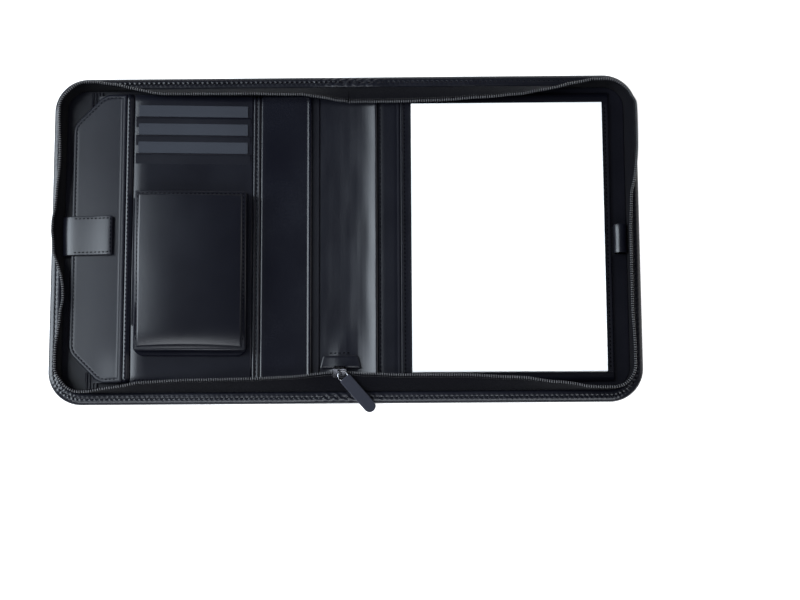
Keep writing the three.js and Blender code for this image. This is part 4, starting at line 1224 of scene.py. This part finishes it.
# %% Slot linings
for i in range(slot_count):
    node_name = f"card_slot_lining_{i + 1}"
    low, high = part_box(node_name)
    base = card_top + gap
    corners = rectangle(low.x, high.x, low.y, high.y, 0.6 * mm)
    bm = panel(corners, base + 0.5 * mm, 0.5 * mm, 0.15 * mm, 0, 6 * mm)
    reshape(bm, lambda x, y: pocket_lift(x) + wave(x, y, 0.08 * mm, 25 * mm, 9.0 + i))
    make_piece(f"slot_lining_{i + 1}", bm, slot_leather, [node_name], sharp=60)

# %% [markdown]
# The phone pocket is a box of leather: a thin backing, a folded wall round three sides, and a
# padded front with a stitched edge on the left, the top and the right. At its foot the front is
# simply turned under, and its lower edge arches a little where the wall folds inwards.

# %% Phone pocket: backing
low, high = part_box("phone_pocket_backing")
backing_thickness = 0.8 * mm
backing_top = card_top + gap + backing_thickness
bm = panel(rectangle(low.x, high.x, low.y, high.y), backing_top, backing_thickness, 0.3 * mm, 0, 7 * mm)
reshape(bm, lambda x, y: pocket_lift(x))
make_piece("phone_backing_leather", bm, front_leather, ["phone_pocket_backing"], sharp=60)

# %% [markdown]
# The wall is one bent grid that follows a U round the pocket. Its section folds inwards on the way
# up, more at the foot than at the sides.

# %% Phone pocket: folded wall
phone_low, phone_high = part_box("phone_pocket_front")
phone_width = phone_high.x - phone_low.x
phone_depth, phone_wall, phone_corner = 9 * mm, 1.1 * mm, 5 * mm
phone_base = backing_top + gap
front_under = phone_base + phone_depth
flare_side, flare_foot = 1.9 * mm, 4 * mm
wall_points = [
    (1.0, 0.0), (1.0, 0.12), (1.0, 0.26), (0.8, 0.36), (0.45, 0.5), (0.2, 0.66), (0.05, 0.82), (0.0, 0.94),
]
side_steps, corner_steps, foot_steps = 30, 8, 20
foot_fall, foot_run = 4.2 * mm, 20 * mm


def foot_drop(y):
    """How far the front sinks towards its foot, where the wall under it folds inwards."""
    near = max(0, 1 - (y - phone_low.y) / foot_run)
    return foot_fall * near * near


def wall_route():
    """U-shaped way round the pocket: place and the way outwards, from top left to top right."""
    w = phone_width / 2 - 1 * mm
    bottom = phone_low.y + 1 * mm
    found = []
    for i in range(side_steps):
        y = phone_high.y + (bottom + phone_corner - phone_high.y) * i / side_steps
        found.append((Vector((-w, y, 0)), Vector((-1, 0, 0)), 0))
    centre = Vector((phone_corner - w, bottom + phone_corner, 0))
    for i in range(corner_steps):
        angle = math.radians(180 + 90 * i / corner_steps)
        out = Vector((math.cos(angle), math.sin(angle), 0))
        found.append((centre + out * phone_corner, out, i / corner_steps))
    for i in range(foot_steps + 1):
        x = phone_corner - w + 2 * (w - phone_corner) * i / foot_steps
        found.append((Vector((x, bottom, 0)), Vector((0, -1, 0)), 1))
    mirrored = []
    for at, out, share in reversed(found[:side_steps + corner_steps]):
        mirrored.append((Vector((-at.x, at.y, 0)), Vector((-out.x, out.y, 0)), share))
    return found + mirrored


route = wall_route()


def wall_place(i, j):
    at, out, foot = route[i]
    k = j % (2 * len(wall_points))
    inner = k >= len(wall_points)
    share, up = wall_points[k] if not inner else wall_points[2 * len(wall_points) - 1 - k]
    flare = flare_side + (flare_foot - flare_side) * foot
    reach = share * flare - (phone_wall if inner else 0)
    x = (phone_low.x + phone_high.x) / 2 + at.x + out.x * reach
    y = at.y + out.y * reach
    bulge = wave(x, y, 0.4 * mm, 18 * mm, 10.0) * math.sin(math.pi * min(1, up))
    height = up * (phone_depth - gap - foot_drop(y))
    return Vector((x + out.x * bulge, y + out.y * bulge, phone_base + height + pocket_lift(x)))


bm = bent_grid(len(route) - 1, 2 * len(wall_points), wall_place)
# The duller wall leather paints the shade under the front.
make_piece("phone_wall_leather", bm, shaded_wall_leather, ["phone_pocket_gusset"], sharp=75)

# %% [markdown]
# The front is a padded panel: it crowns across, sinks towards its foot with the wall, and its foot
# edge arches a little.

# %% Phone pocket: padded front
phone_crown, phone_thickness = 3.6 * mm, 1.6 * mm
phone_middle = (phone_low.x + phone_high.x) / 2
phone_height = phone_high.y - phone_low.y
phone_corners = [
    (phone_low.x, phone_low.y, 1.5 * mm), (phone_high.x, phone_low.y, 1.5 * mm),
    (phone_high.x, phone_high.y, 1 * mm), (phone_low.x, phone_high.y, 1 * mm),
]
phone_seam = 2 * mm
bm = panel(
    phone_corners, front_under + phone_thickness, phone_thickness, padded_roll, phone_seam, 4 * mm,
    hold=holding_ring,
)


def phone_crown_at(x, y):
    side = (x - phone_middle) / (phone_width / 2)
    down = (phone_high.y - y) / phone_height
    swell = 0.7 + 0.3 * math.sin(math.pi * (0.12 + 0.8 * min(1, max(0, down))))
    crown = phone_crown * swell * (1 - min(1, abs(side)) ** 2.2)
    return crown - foot_drop(y)


def phone_arch(x, y):
    """The foot edge bows up in its middle."""
    side = (x - phone_middle) / (phone_width / 2)
    foot = max(0, 1 - (y - phone_low.y) / (14 * mm))
    return 1.8 * mm * foot * foot * (1 - side * side)


for v in bm.verts:
    x, y = v.co.x, v.co.y
    v.co.z += pocket_lift(x) + phone_crown_at(x, y) + wave(x, y, 0.35 * mm, 38 * mm, 11.0)
    v.co.y += phone_arch(x, y)
make_piece("phone_front_leather", bm, front_leather, ["phone_pocket_front"], sharp=60)
path = inset_path(phone_corners, phone_seam, lambda x, y: y > phone_low.y + 2.6 * mm)
sew("phone_front_stitches", "phone_front_leather", [path], 3.3 * mm)

# %% [markdown]
# The closure tab is a strap of leather that comes up from under the pocket, bends round its open
# edge and lies on its front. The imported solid's section, drawn out across the strap and smoothed
# by a subdivision surface, gives the bend, and three of its sides are stitched.

# %% Closure tab
bm = drawn_strip("closure_tab", 0, 9, 0.5 * mm)
tab_low, tab_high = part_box("closure_tab")
tab_middle = (tab_low.y + tab_high.y) / 2
tab_lift = 1.8 * mm
tab_bow, tab_bow_run = 2.2 * mm, 3 * mm
for v in bm.verts:
    outside = min(1, max(0, (edge_low.x + 1 * mm - v.co.x) / tab_bow_run))
    share = (v.co.y - tab_middle) / (tab_high.y - tab_low.y) * 2
    free = max(0, (v.co.x - edge_low.x - 2 * mm) / (tab_high.x - edge_low.x))
    v.co.z += tab_lift * free * free - 0.25 * mm * share * share
    v.co.x -= tab_bow * outside
smoothing_mesh = bpy.data.meshes.new("smoothing")
bm.to_mesh(smoothing_mesh)
bm.free()
smoothing = bpy.data.objects.new("smoothing", smoothing_mesh)
bpy.context.scene.collection.objects.link(smoothing)
levels = smoothing.modifiers.new("round", "SUBSURF")
levels.levels = levels.render_levels = 2
bm = bmesh.new()
bm.from_object(smoothing, bpy.context.evaluated_depsgraph_get())
bpy.data.objects.remove(smoothing)
make_piece("closure_tab_leather", bm, front_leather, ["closure_tab"])
tab_seam = 2.1 * mm
tab_path = [
    (edge_low.x + 1 * mm, tab_high.y - tab_seam), (tab_high.x - tab_seam, tab_high.y - tab_seam),
    (tab_high.x - tab_seam, tab_low.y + tab_seam), (edge_low.x + 1 * mm, tab_low.y + tab_seam),
]
sew("closure_tab_stitches", "closure_tab_leather", [tab_path], 3.1 * mm, size=0.95)

# %% [markdown]
# Folded leather closes the file pocket at its top and bottom. The fold runs in under the front,
# and near the open edge four narrow pleats show beside it, so that the pocket can open.

# %% Pleated sides of the file pocket
pleat_width, pleat_height, pleat_count = 2.4 * mm, 1.2 * mm, 4
pleat_steps = 10

for end, sign in (("top", 1), ("bottom", -1)):
    node_name = f"pocket_gusset_{end}"
    low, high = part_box(node_name)
    wall = 0.8 * mm
    outer = pocket_top - wall
    floor_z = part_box("lining_left")[1].z + gap + wall / 2

    def fold_place(i, j, sign=sign, low=low, high=high):
        x = low.x + (high.x - low.x) * i / 40
        dip = card_dip(x) + 0.3 * mm if x > card_low.x else 0.0
        roof = pocket_base + pocket_lift(x) - dip - gap - wall / 2
        share = (j % 18) if (j % 18) < 9 else 17 - (j % 18)
        side = 0.5 if (j % 18) < 9 else -0.5
        t = share / 8
        depth = 6 * mm * math.sin(math.pi * t) ** 0.8
        y = outer - depth + side * wall
        return Vector((x, sign * y, floor_z + (roof - floor_z) * t))

    bm = bent_grid(40, 18, fold_place)
    start = low.x - 7 * mm

    def pleat_place(i, j, sign=sign, start=start):
        x = start + pleat_width * i / pleat_steps
        y = sign * (pocket_top - 9 * mm + 13 * mm * j / 5)
        fade = 1 - 0.6 * j / 5
        ridge = math.sin(math.pi * i / pleat_steps) ** 2
        return Vector((x, y, floor_z + pleat_height * ridge * fade))

    pleats = sheet_grid(pleat_steps * pleat_count, 5, pleat_place, 0.35 * mm)
    take_in(bm, pleats)
    make_piece(f"pleated_side_{end}", bm, lining_leather, [node_name], sharp=70)

# %% [markdown]
# Beside the spine lies a plain panel whose right edge is turned over a cord, so that it shines as
# a thin line.

# %% Plain panel
low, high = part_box("inner_panel")
plain_corners = rectangle(low.x, high.x, low.y, high.y, 2.5 * mm)
bead_height, bead_run, bead_inset = 0.34 * mm, 1.3 * mm, 2.1 * mm
bead_cuts = [(0, high.x - bead_inset - bead_run * share) for share in (0, 0.33, 0.67, 1, 1.5)]
bm = panel(plain_corners, high.z, high.z - low.z, 0.9 * mm, 0, 5 * mm, also=bead_cuts)


def plain_swell(x, y, left=low.x, right=high.x):
    across = (x - left) / (right - left)
    climb = min(1, max(0, 1 - (right - bead_inset - x) / bead_run))
    bead = bead_height * (0.5 - 0.5 * math.cos(math.pi * climb))
    return bead - 0.4 * mm * math.sin(math.pi * min(1, max(0, across))) + wave(x, y, 0.2 * mm, 50 * mm, 12.0)


reshape(bm, plain_swell)
make_piece("plain_panel_leather", bm, plain_leather, ["inner_panel"], sharp=60)

# %% [markdown]
# On the right side a stitched strip runs along the spine, then the pad's own panel with a bead on
# its left edge, and a narrow stitched strip beyond the pad.

# %% Hinge strip
low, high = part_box("hinge_strip")
hinge_corners = rectangle(low.x, high.x, low.y, high.y, 2 * mm)
bm = panel(hinge_corners, high.z, high.z - low.z, 0.45 * mm, 2 * mm, 5 * mm, groove=0.22 * mm)
reshape(bm, lambda x, y: wave(x, y, 0.15 * mm, 40 * mm, 13.0))
make_piece("hinge_strip_leather", bm, front_leather, ["hinge_strip"], sharp=60)
hinge_row = upright(low.x + 2 * mm, low.y, high.y, 3 * mm)
sew("hinge_strip_stitches", "hinge_strip_leather", hinge_row, seam_pitch)

# %% Pad panel
bm = drawn_strip("pad_panel", 0.18 * mm, 50)
reshape(bm, lambda x, y: wave(x, y, 0.08 * mm, 40 * mm, 14.0))
make_piece("pad_panel_leather", bm, lining_leather, ["pad_panel"], sharp=60)
low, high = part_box("pad_panel")
pad_row = upright(low.x + 3.2 * mm, low.y, high.y)
sew("pad_panel_stitches", "pad_panel_leather", pad_row, seam_pitch, size=0.9)

# %% Side strip
low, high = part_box("pad_side_strip")
strip_corners = rectangle(low.x, high.x, low.y, high.y, 1.4 * mm)
bm = panel(strip_corners, high.z, high.z - low.z, 0.3 * mm, 1.6 * mm, 8 * mm, groove=0.15 * mm)
reshape(bm, lambda x, y: wave(x, y, 0.1 * mm, 20 * mm, 15.0))
make_piece("side_strip_leather", bm, front_leather, ["pad_side_strip"], sharp=60)
side_row = upright((low.x + high.x) / 2, low.y, high.y)
sew("side_strip_stitches", "side_strip_leather", side_row, seam_pitch, size=0.8)

# %% [markdown]
# The pad is a stack of about fifty sheets on a grey board. A few groups of sheets that lie a hair
# out of line are enough to show the stack at its sides, and its top sheet lifts at one corner.

# %% Writing pad
low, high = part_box("writing_pad")
board_height, groups = 0.7 * mm, 9
sheet_shift, trim = 0.1 * mm, 0.12 * mm
uncut, top_cell = 300 * mm, 12 * mm
stack = high.z - low.z - board_height
bm = bmesh.new()
for i in range(groups):
    z = low.z + board_height + stack * i / groups
    depth = stack / groups
    dx = sheet_shift * noise.noise(Vector((i * 3.1, 0.5, 0)))
    dy = sheet_shift * noise.noise(Vector((i * 2.3, 4.5, 0)))
    corners = rectangle(
        low.x + trim + dx, high.x - trim + dx, low.y + trim + dy, high.y - trim + dy, 0.3 * mm
    )
    cell = top_cell if i == groups - 1 else uncut
    sheets = panel(corners, z + depth * 0.98, depth * 0.96, 0.04 * mm, 0, cell)
    if i == groups - 1:
        for v in sheets.verts:
            near = max(0, 1 - math.hypot(v.co.x - high.x, v.co.y - low.y) / (38 * mm))
            v.co.z += 0.5 * mm * near * near
    take_in(bm, sheets)
make_piece("paper_sheets", bm, paper, ["writing_pad"], sharp=40)

board_card = simple(
    "grey_card", (0.2, 0.19, 0.18, 1), (0.26, 0.25, 0.23, 1), (0.85, 0.95), 900.0, 0.05 * mm
)
board_corners = rectangle(low.x, high.x, low.y, high.y, 0.5 * mm)
bm = panel(board_corners, low.z + board_height - 0.03 * mm, board_height, 0.08 * mm, 0, uncut)
make_piece("pad_board", bm, board_card, sharp=40)

# %% [markdown]
# The pen loop is a strip of leather bent into a tube and sewn down through its flat foot.

# %% Pen loop
low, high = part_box("pen_loop")
loop_radius, loop_wall = (high.x - low.x) / 2, 1 * mm
loop_x, loop_z = (low.x + high.x) / 2, high.z - loop_radius
loop_turns, loop_steps = 40, 14


def loop_place(i, j):
    y = low.y + (high.y - low.y) * i / loop_steps
    flat = j % (2 * loop_turns)
    inner = flat >= loop_turns
    angle = 2 * math.pi * (flat if not inner else 2 * loop_turns - 1 - flat) / (loop_turns - 1) - math.pi / 2
    radius = loop_radius - (loop_wall if inner else 0)
    end = min(i, loop_steps - i)
    radius += (-0.25 * mm if end == 0 else 0.0) * (1 if not inner else -1)
    waist = 0.25 * mm * math.sin(math.pi * i / loop_steps)
    x = loop_x + (radius - waist) * math.cos(angle)
    z = loop_z + (radius - waist * 0.4) * math.sin(angle)
    return Vector((x, y, max(z, low.z + (loop_wall if inner else 0))))


bm = bent_grid(loop_steps, 2 * loop_turns, loop_place)
make_piece("pen_loop_leather", bm, front_leather, ["pen_loop"], sharp=60)

# %% [markdown]
# The slider rides on the coil with a plate above and below it, joined by a post between the rows.
# It is tilted with the tape where it is parked. A wire arch on its upper plate holds a ring, and
# the flat leather pull is folded round that ring and droops from it over the edge of the case.

# %% Slider plates
slider_length, slider_width, slider_plate = 11 * mm, 8.4 * mm, 0.9 * mm
chain_half = 1.1 * mm + 0.5 * mm
slider_lean = lean_at("left", 5.0)
slider_tilt = math.acos(slider_lean)
chain_end = on_tape("left", 5.0, chain_place)[0]
parked = Matrix.Translation((slider_x, chain_end.y, chain_end.z))
slider_matrix = parked @ Matrix.Rotation(slider_tilt, 4, "X")


def slider_plate_form(bottom, top, dome):
    half, wide = slider_length / 2, slider_width / 2
    corners = [
        (-half, -wide * 0.8, 1.4 * mm), (half, -wide * 0.8, 1.4 * mm),
        (half, wide, 2.4 * mm), (-half, wide, 2.4 * mm),
    ]
    part = panel(corners, top, top - bottom, 0.35 * mm, 0, 1.5 * mm)
    for v in part.verts:
        if v.co.z > (bottom + top) / 2:
            v.co.z += dome * (1 - (v.co.x / half) ** 2) * (1 - (v.co.y / wide) ** 2)
    return part


def add_part(bm, part, matrix=None):
    if matrix is not None:
        bmesh.ops.transform(part, matrix=matrix, verts=part.verts)
    bmesh.ops.recalc_face_normals(part, faces=part.faces)
    take_in(bm, part)


bm = bmesh.new()
add_part(bm, slider_plate_form(chain_half, chain_half + slider_plate, 0.3 * mm), slider_matrix)
flip = Matrix.Scale(-1, 4, Vector((0, 0, 1)))
add_part(bm, slider_plate_form(chain_half, chain_half + slider_plate, 0.0), slider_matrix @ flip)
post_outline = rectangle(-3.3 * mm, 3.3 * mm, 1.8 * mm, 4 * mm, 0.4 * mm)
post = panel(post_outline, chain_half + 0.3 * mm, 2 * chain_half + 0.6 * mm, 0.2 * mm, 0, 3 * mm)
add_part(bm, post, slider_matrix)
print("faces of the plates:", len(bm.faces))

# %% [markdown]
# The wire arch is a round tube along a path: up, over and down again, turned the way that the pull
# points. It joins the plates in one piece.

# %% Wire arch of the slider
def wire_tube(path, radius, segments=10):
    """A round wire along a path: a circle stands across each step and the steps are bridged."""
    points = [Vector(p) for p in path]
    part = bmesh.new()
    before = None
    for i, at in enumerate(points):
        ahead = (points[min(i + 1, len(points) - 1)] - points[max(i - 1, 0)]).normalized()
        place = Matrix.Translation(at) @ ahead.to_track_quat("Z", "Y").to_matrix().to_4x4()
        last = i in (0, len(points) - 1)
        made = bmesh.ops.create_circle(
            part, cap_ends=last, segments=segments, radius=radius, matrix=place
        )["verts"]
        ring = [e for e in {e for v in made for e in v.link_edges} if all(v in made for v in e.verts)]
        if before:
            bmesh.ops.bridge_loops(part, edges=before + ring)
        before = ring
    return part


pull_turn, pull_droop = math.radians(-48), math.radians(20)
bail_reach, bail_height, wire_radius = 1.9 * mm, 3.4 * mm, 0.6 * mm
bail_foot = slider_matrix @ Vector((0, 0.6 * mm, chain_half + slider_plate))
bail_matrix = Matrix.Translation(bail_foot) @ Matrix.Rotation(pull_turn, 4, "Z")
bail_steps = 16
bail_path = []
for i in range(bail_steps + 1):
    angle = math.pi * i / bail_steps
    up = bail_height * math.sin(angle) ** 0.75
    bail_path.append(bail_matrix @ Vector((-bail_reach * math.cos(angle), 0, up)))
bail_path.insert(0, bail_path[0] - Vector((0, 0, 1.2 * mm)))
bail_path.append(bail_path[-1] - Vector((0, 0, 1.8 * mm)))
add_part(bm, wire_tube(bail_path, wire_radius))
make_piece("slider_body", bm, plated, ["zip_slider"], sharp=50)

# %% [markdown]
# The ring is a plain loop of wire, so its round section is spun once about its middle. The pull is
# a strap folded round the ring and pressed flat: two plies with rounded ends, back to back.

# %% Ring and pull
ring_low, ring_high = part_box("pull_ring")
ring_middle = (ring_low + ring_high) / 2
ring_radius = (ring_high.x - ring_low.x) / 2 - wire_radius
bm = bmesh.new()
bmesh.ops.create_circle(bm, cap_ends=False, segments=10, radius=wire_radius * 0.9)
bmesh.ops.rotate(bm, verts=bm.verts, matrix=Matrix.Rotation(math.pi / 2, 3, "X"))
bmesh.ops.translate(bm, verts=bm.verts, vec=ring_middle + Vector((ring_radius, 0, 0)))
bmesh.ops.spin(
    bm, geom=bm.verts[:] + bm.edges[:], cent=ring_middle, axis=(0, 0, 1),
    angle=2 * math.pi, steps=48, use_merge=True,
)
bmesh.ops.remove_doubles(bm, verts=bm.verts, dist=1e-6)
make_piece("wire_ring", bm, steel_wire, ["pull_ring"])

pull_length, pull_width, pull_thickness = 34 * mm, 9.3 * mm, 2.7 * mm
pull_start = ring_middle + Vector((math.cos(pull_turn), math.sin(pull_turn), 0)) * 2 * mm
pull_matrix = Matrix.Translation(pull_start) @ Matrix.Rotation(pull_turn, 4, "Z")
pull_matrix = pull_matrix @ Matrix.Rotation(pull_droop, 4, "Y")
wide = pull_width / 2
pull_corners = [
    (0, -wide, 1.3 * mm), (pull_length, -wide, wide * 0.97),
    (pull_length, wide, wide * 0.97), (0, wide, 1.3 * mm),
]
bm = bmesh.new()
layer = pull_thickness / 2
for sign in (1, -1):
    ply = panel(pull_corners, layer - 0.05 * mm, layer - 0.1 * mm, 0.35 * mm, 0, 3 * mm)
    if sign < 0:
        bmesh.ops.scale(ply, verts=ply.verts, vec=(1, 1, -1))
    add_part(bm, ply, pull_matrix)
make_piece("pull_strap", bm, pull_leather, ["pull_tab"], sharp=60)

# %% [markdown]
# A folded tab of leather covers the ends of the zip where they meet the spine leather. Its upper
# edge is a fold that catches the light, and a short row of stitches holds it just above.

# %% Zip end tab
low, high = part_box("zip_end_tab")
flare = 2.5 * mm
tab_corners = [
    (low.x, low.y, 1.2 * mm), (high.x, low.y, 1.2 * mm),
    (high.x - flare, high.y, 1.5 * mm), (low.x + flare, high.y, 1.5 * mm),
]
bm = panel(tab_corners, high.z, high.z - low.z, 0.5 * mm, 0, 2.5 * mm)
middle_x = (low.x + high.x) / 2


def end_tab_rise(x, y, low=low, high=high, middle_x=middle_x):
    up = (y - low.y) / (high.y - low.y)
    valley = -0.5 * mm * math.exp(-(((x - middle_x - 3 * mm) / (3 * mm)) ** 2))
    return 0.5 * mm * up * up + valley * up + spine_bulge(x, y)


reshape(bm, end_tab_rise)
make_piece("end_tab_leather", bm, front_leather, ["zip_end_tab"], sharp=60)
row_y = high.y + 2.2 * mm
end_row = [(middle_x - 9 * mm, row_y), (middle_x + 7.5 * mm, row_y)]
sew("end_tab_stitches", "spine_leather", [end_row], 3.3 * mm, slant=0)

# %% [markdown]
# The stitches on the outside of the covers follow the same rim, a few millimetres in, on the lower
# face.

# %% Stitches on the outside
outside = bmesh.new()
outside_path = [Vector((x, y, 0)) for x, y in inset_path(cover_corners, 3 * mm)]
matrices = []
for at, ahead in along_path(outside_path, edge_pitch):
    side_way = Vector((0, 0, -1)).cross(ahead)
    turn = Matrix((ahead, side_way, ahead.cross(side_way))).transposed().to_4x4()
    matrices.append(Matrix.Translation(at + Vector((0, 0, 0.32 * mm))) @ turn)
place_copies(outside, stitch_form, matrices)
make_piece("outside_stitches", outside, thread)

# %% [markdown]
# The last cell brings the view layer up to date.

# %% Last update
bpy.context.view_layer.update()
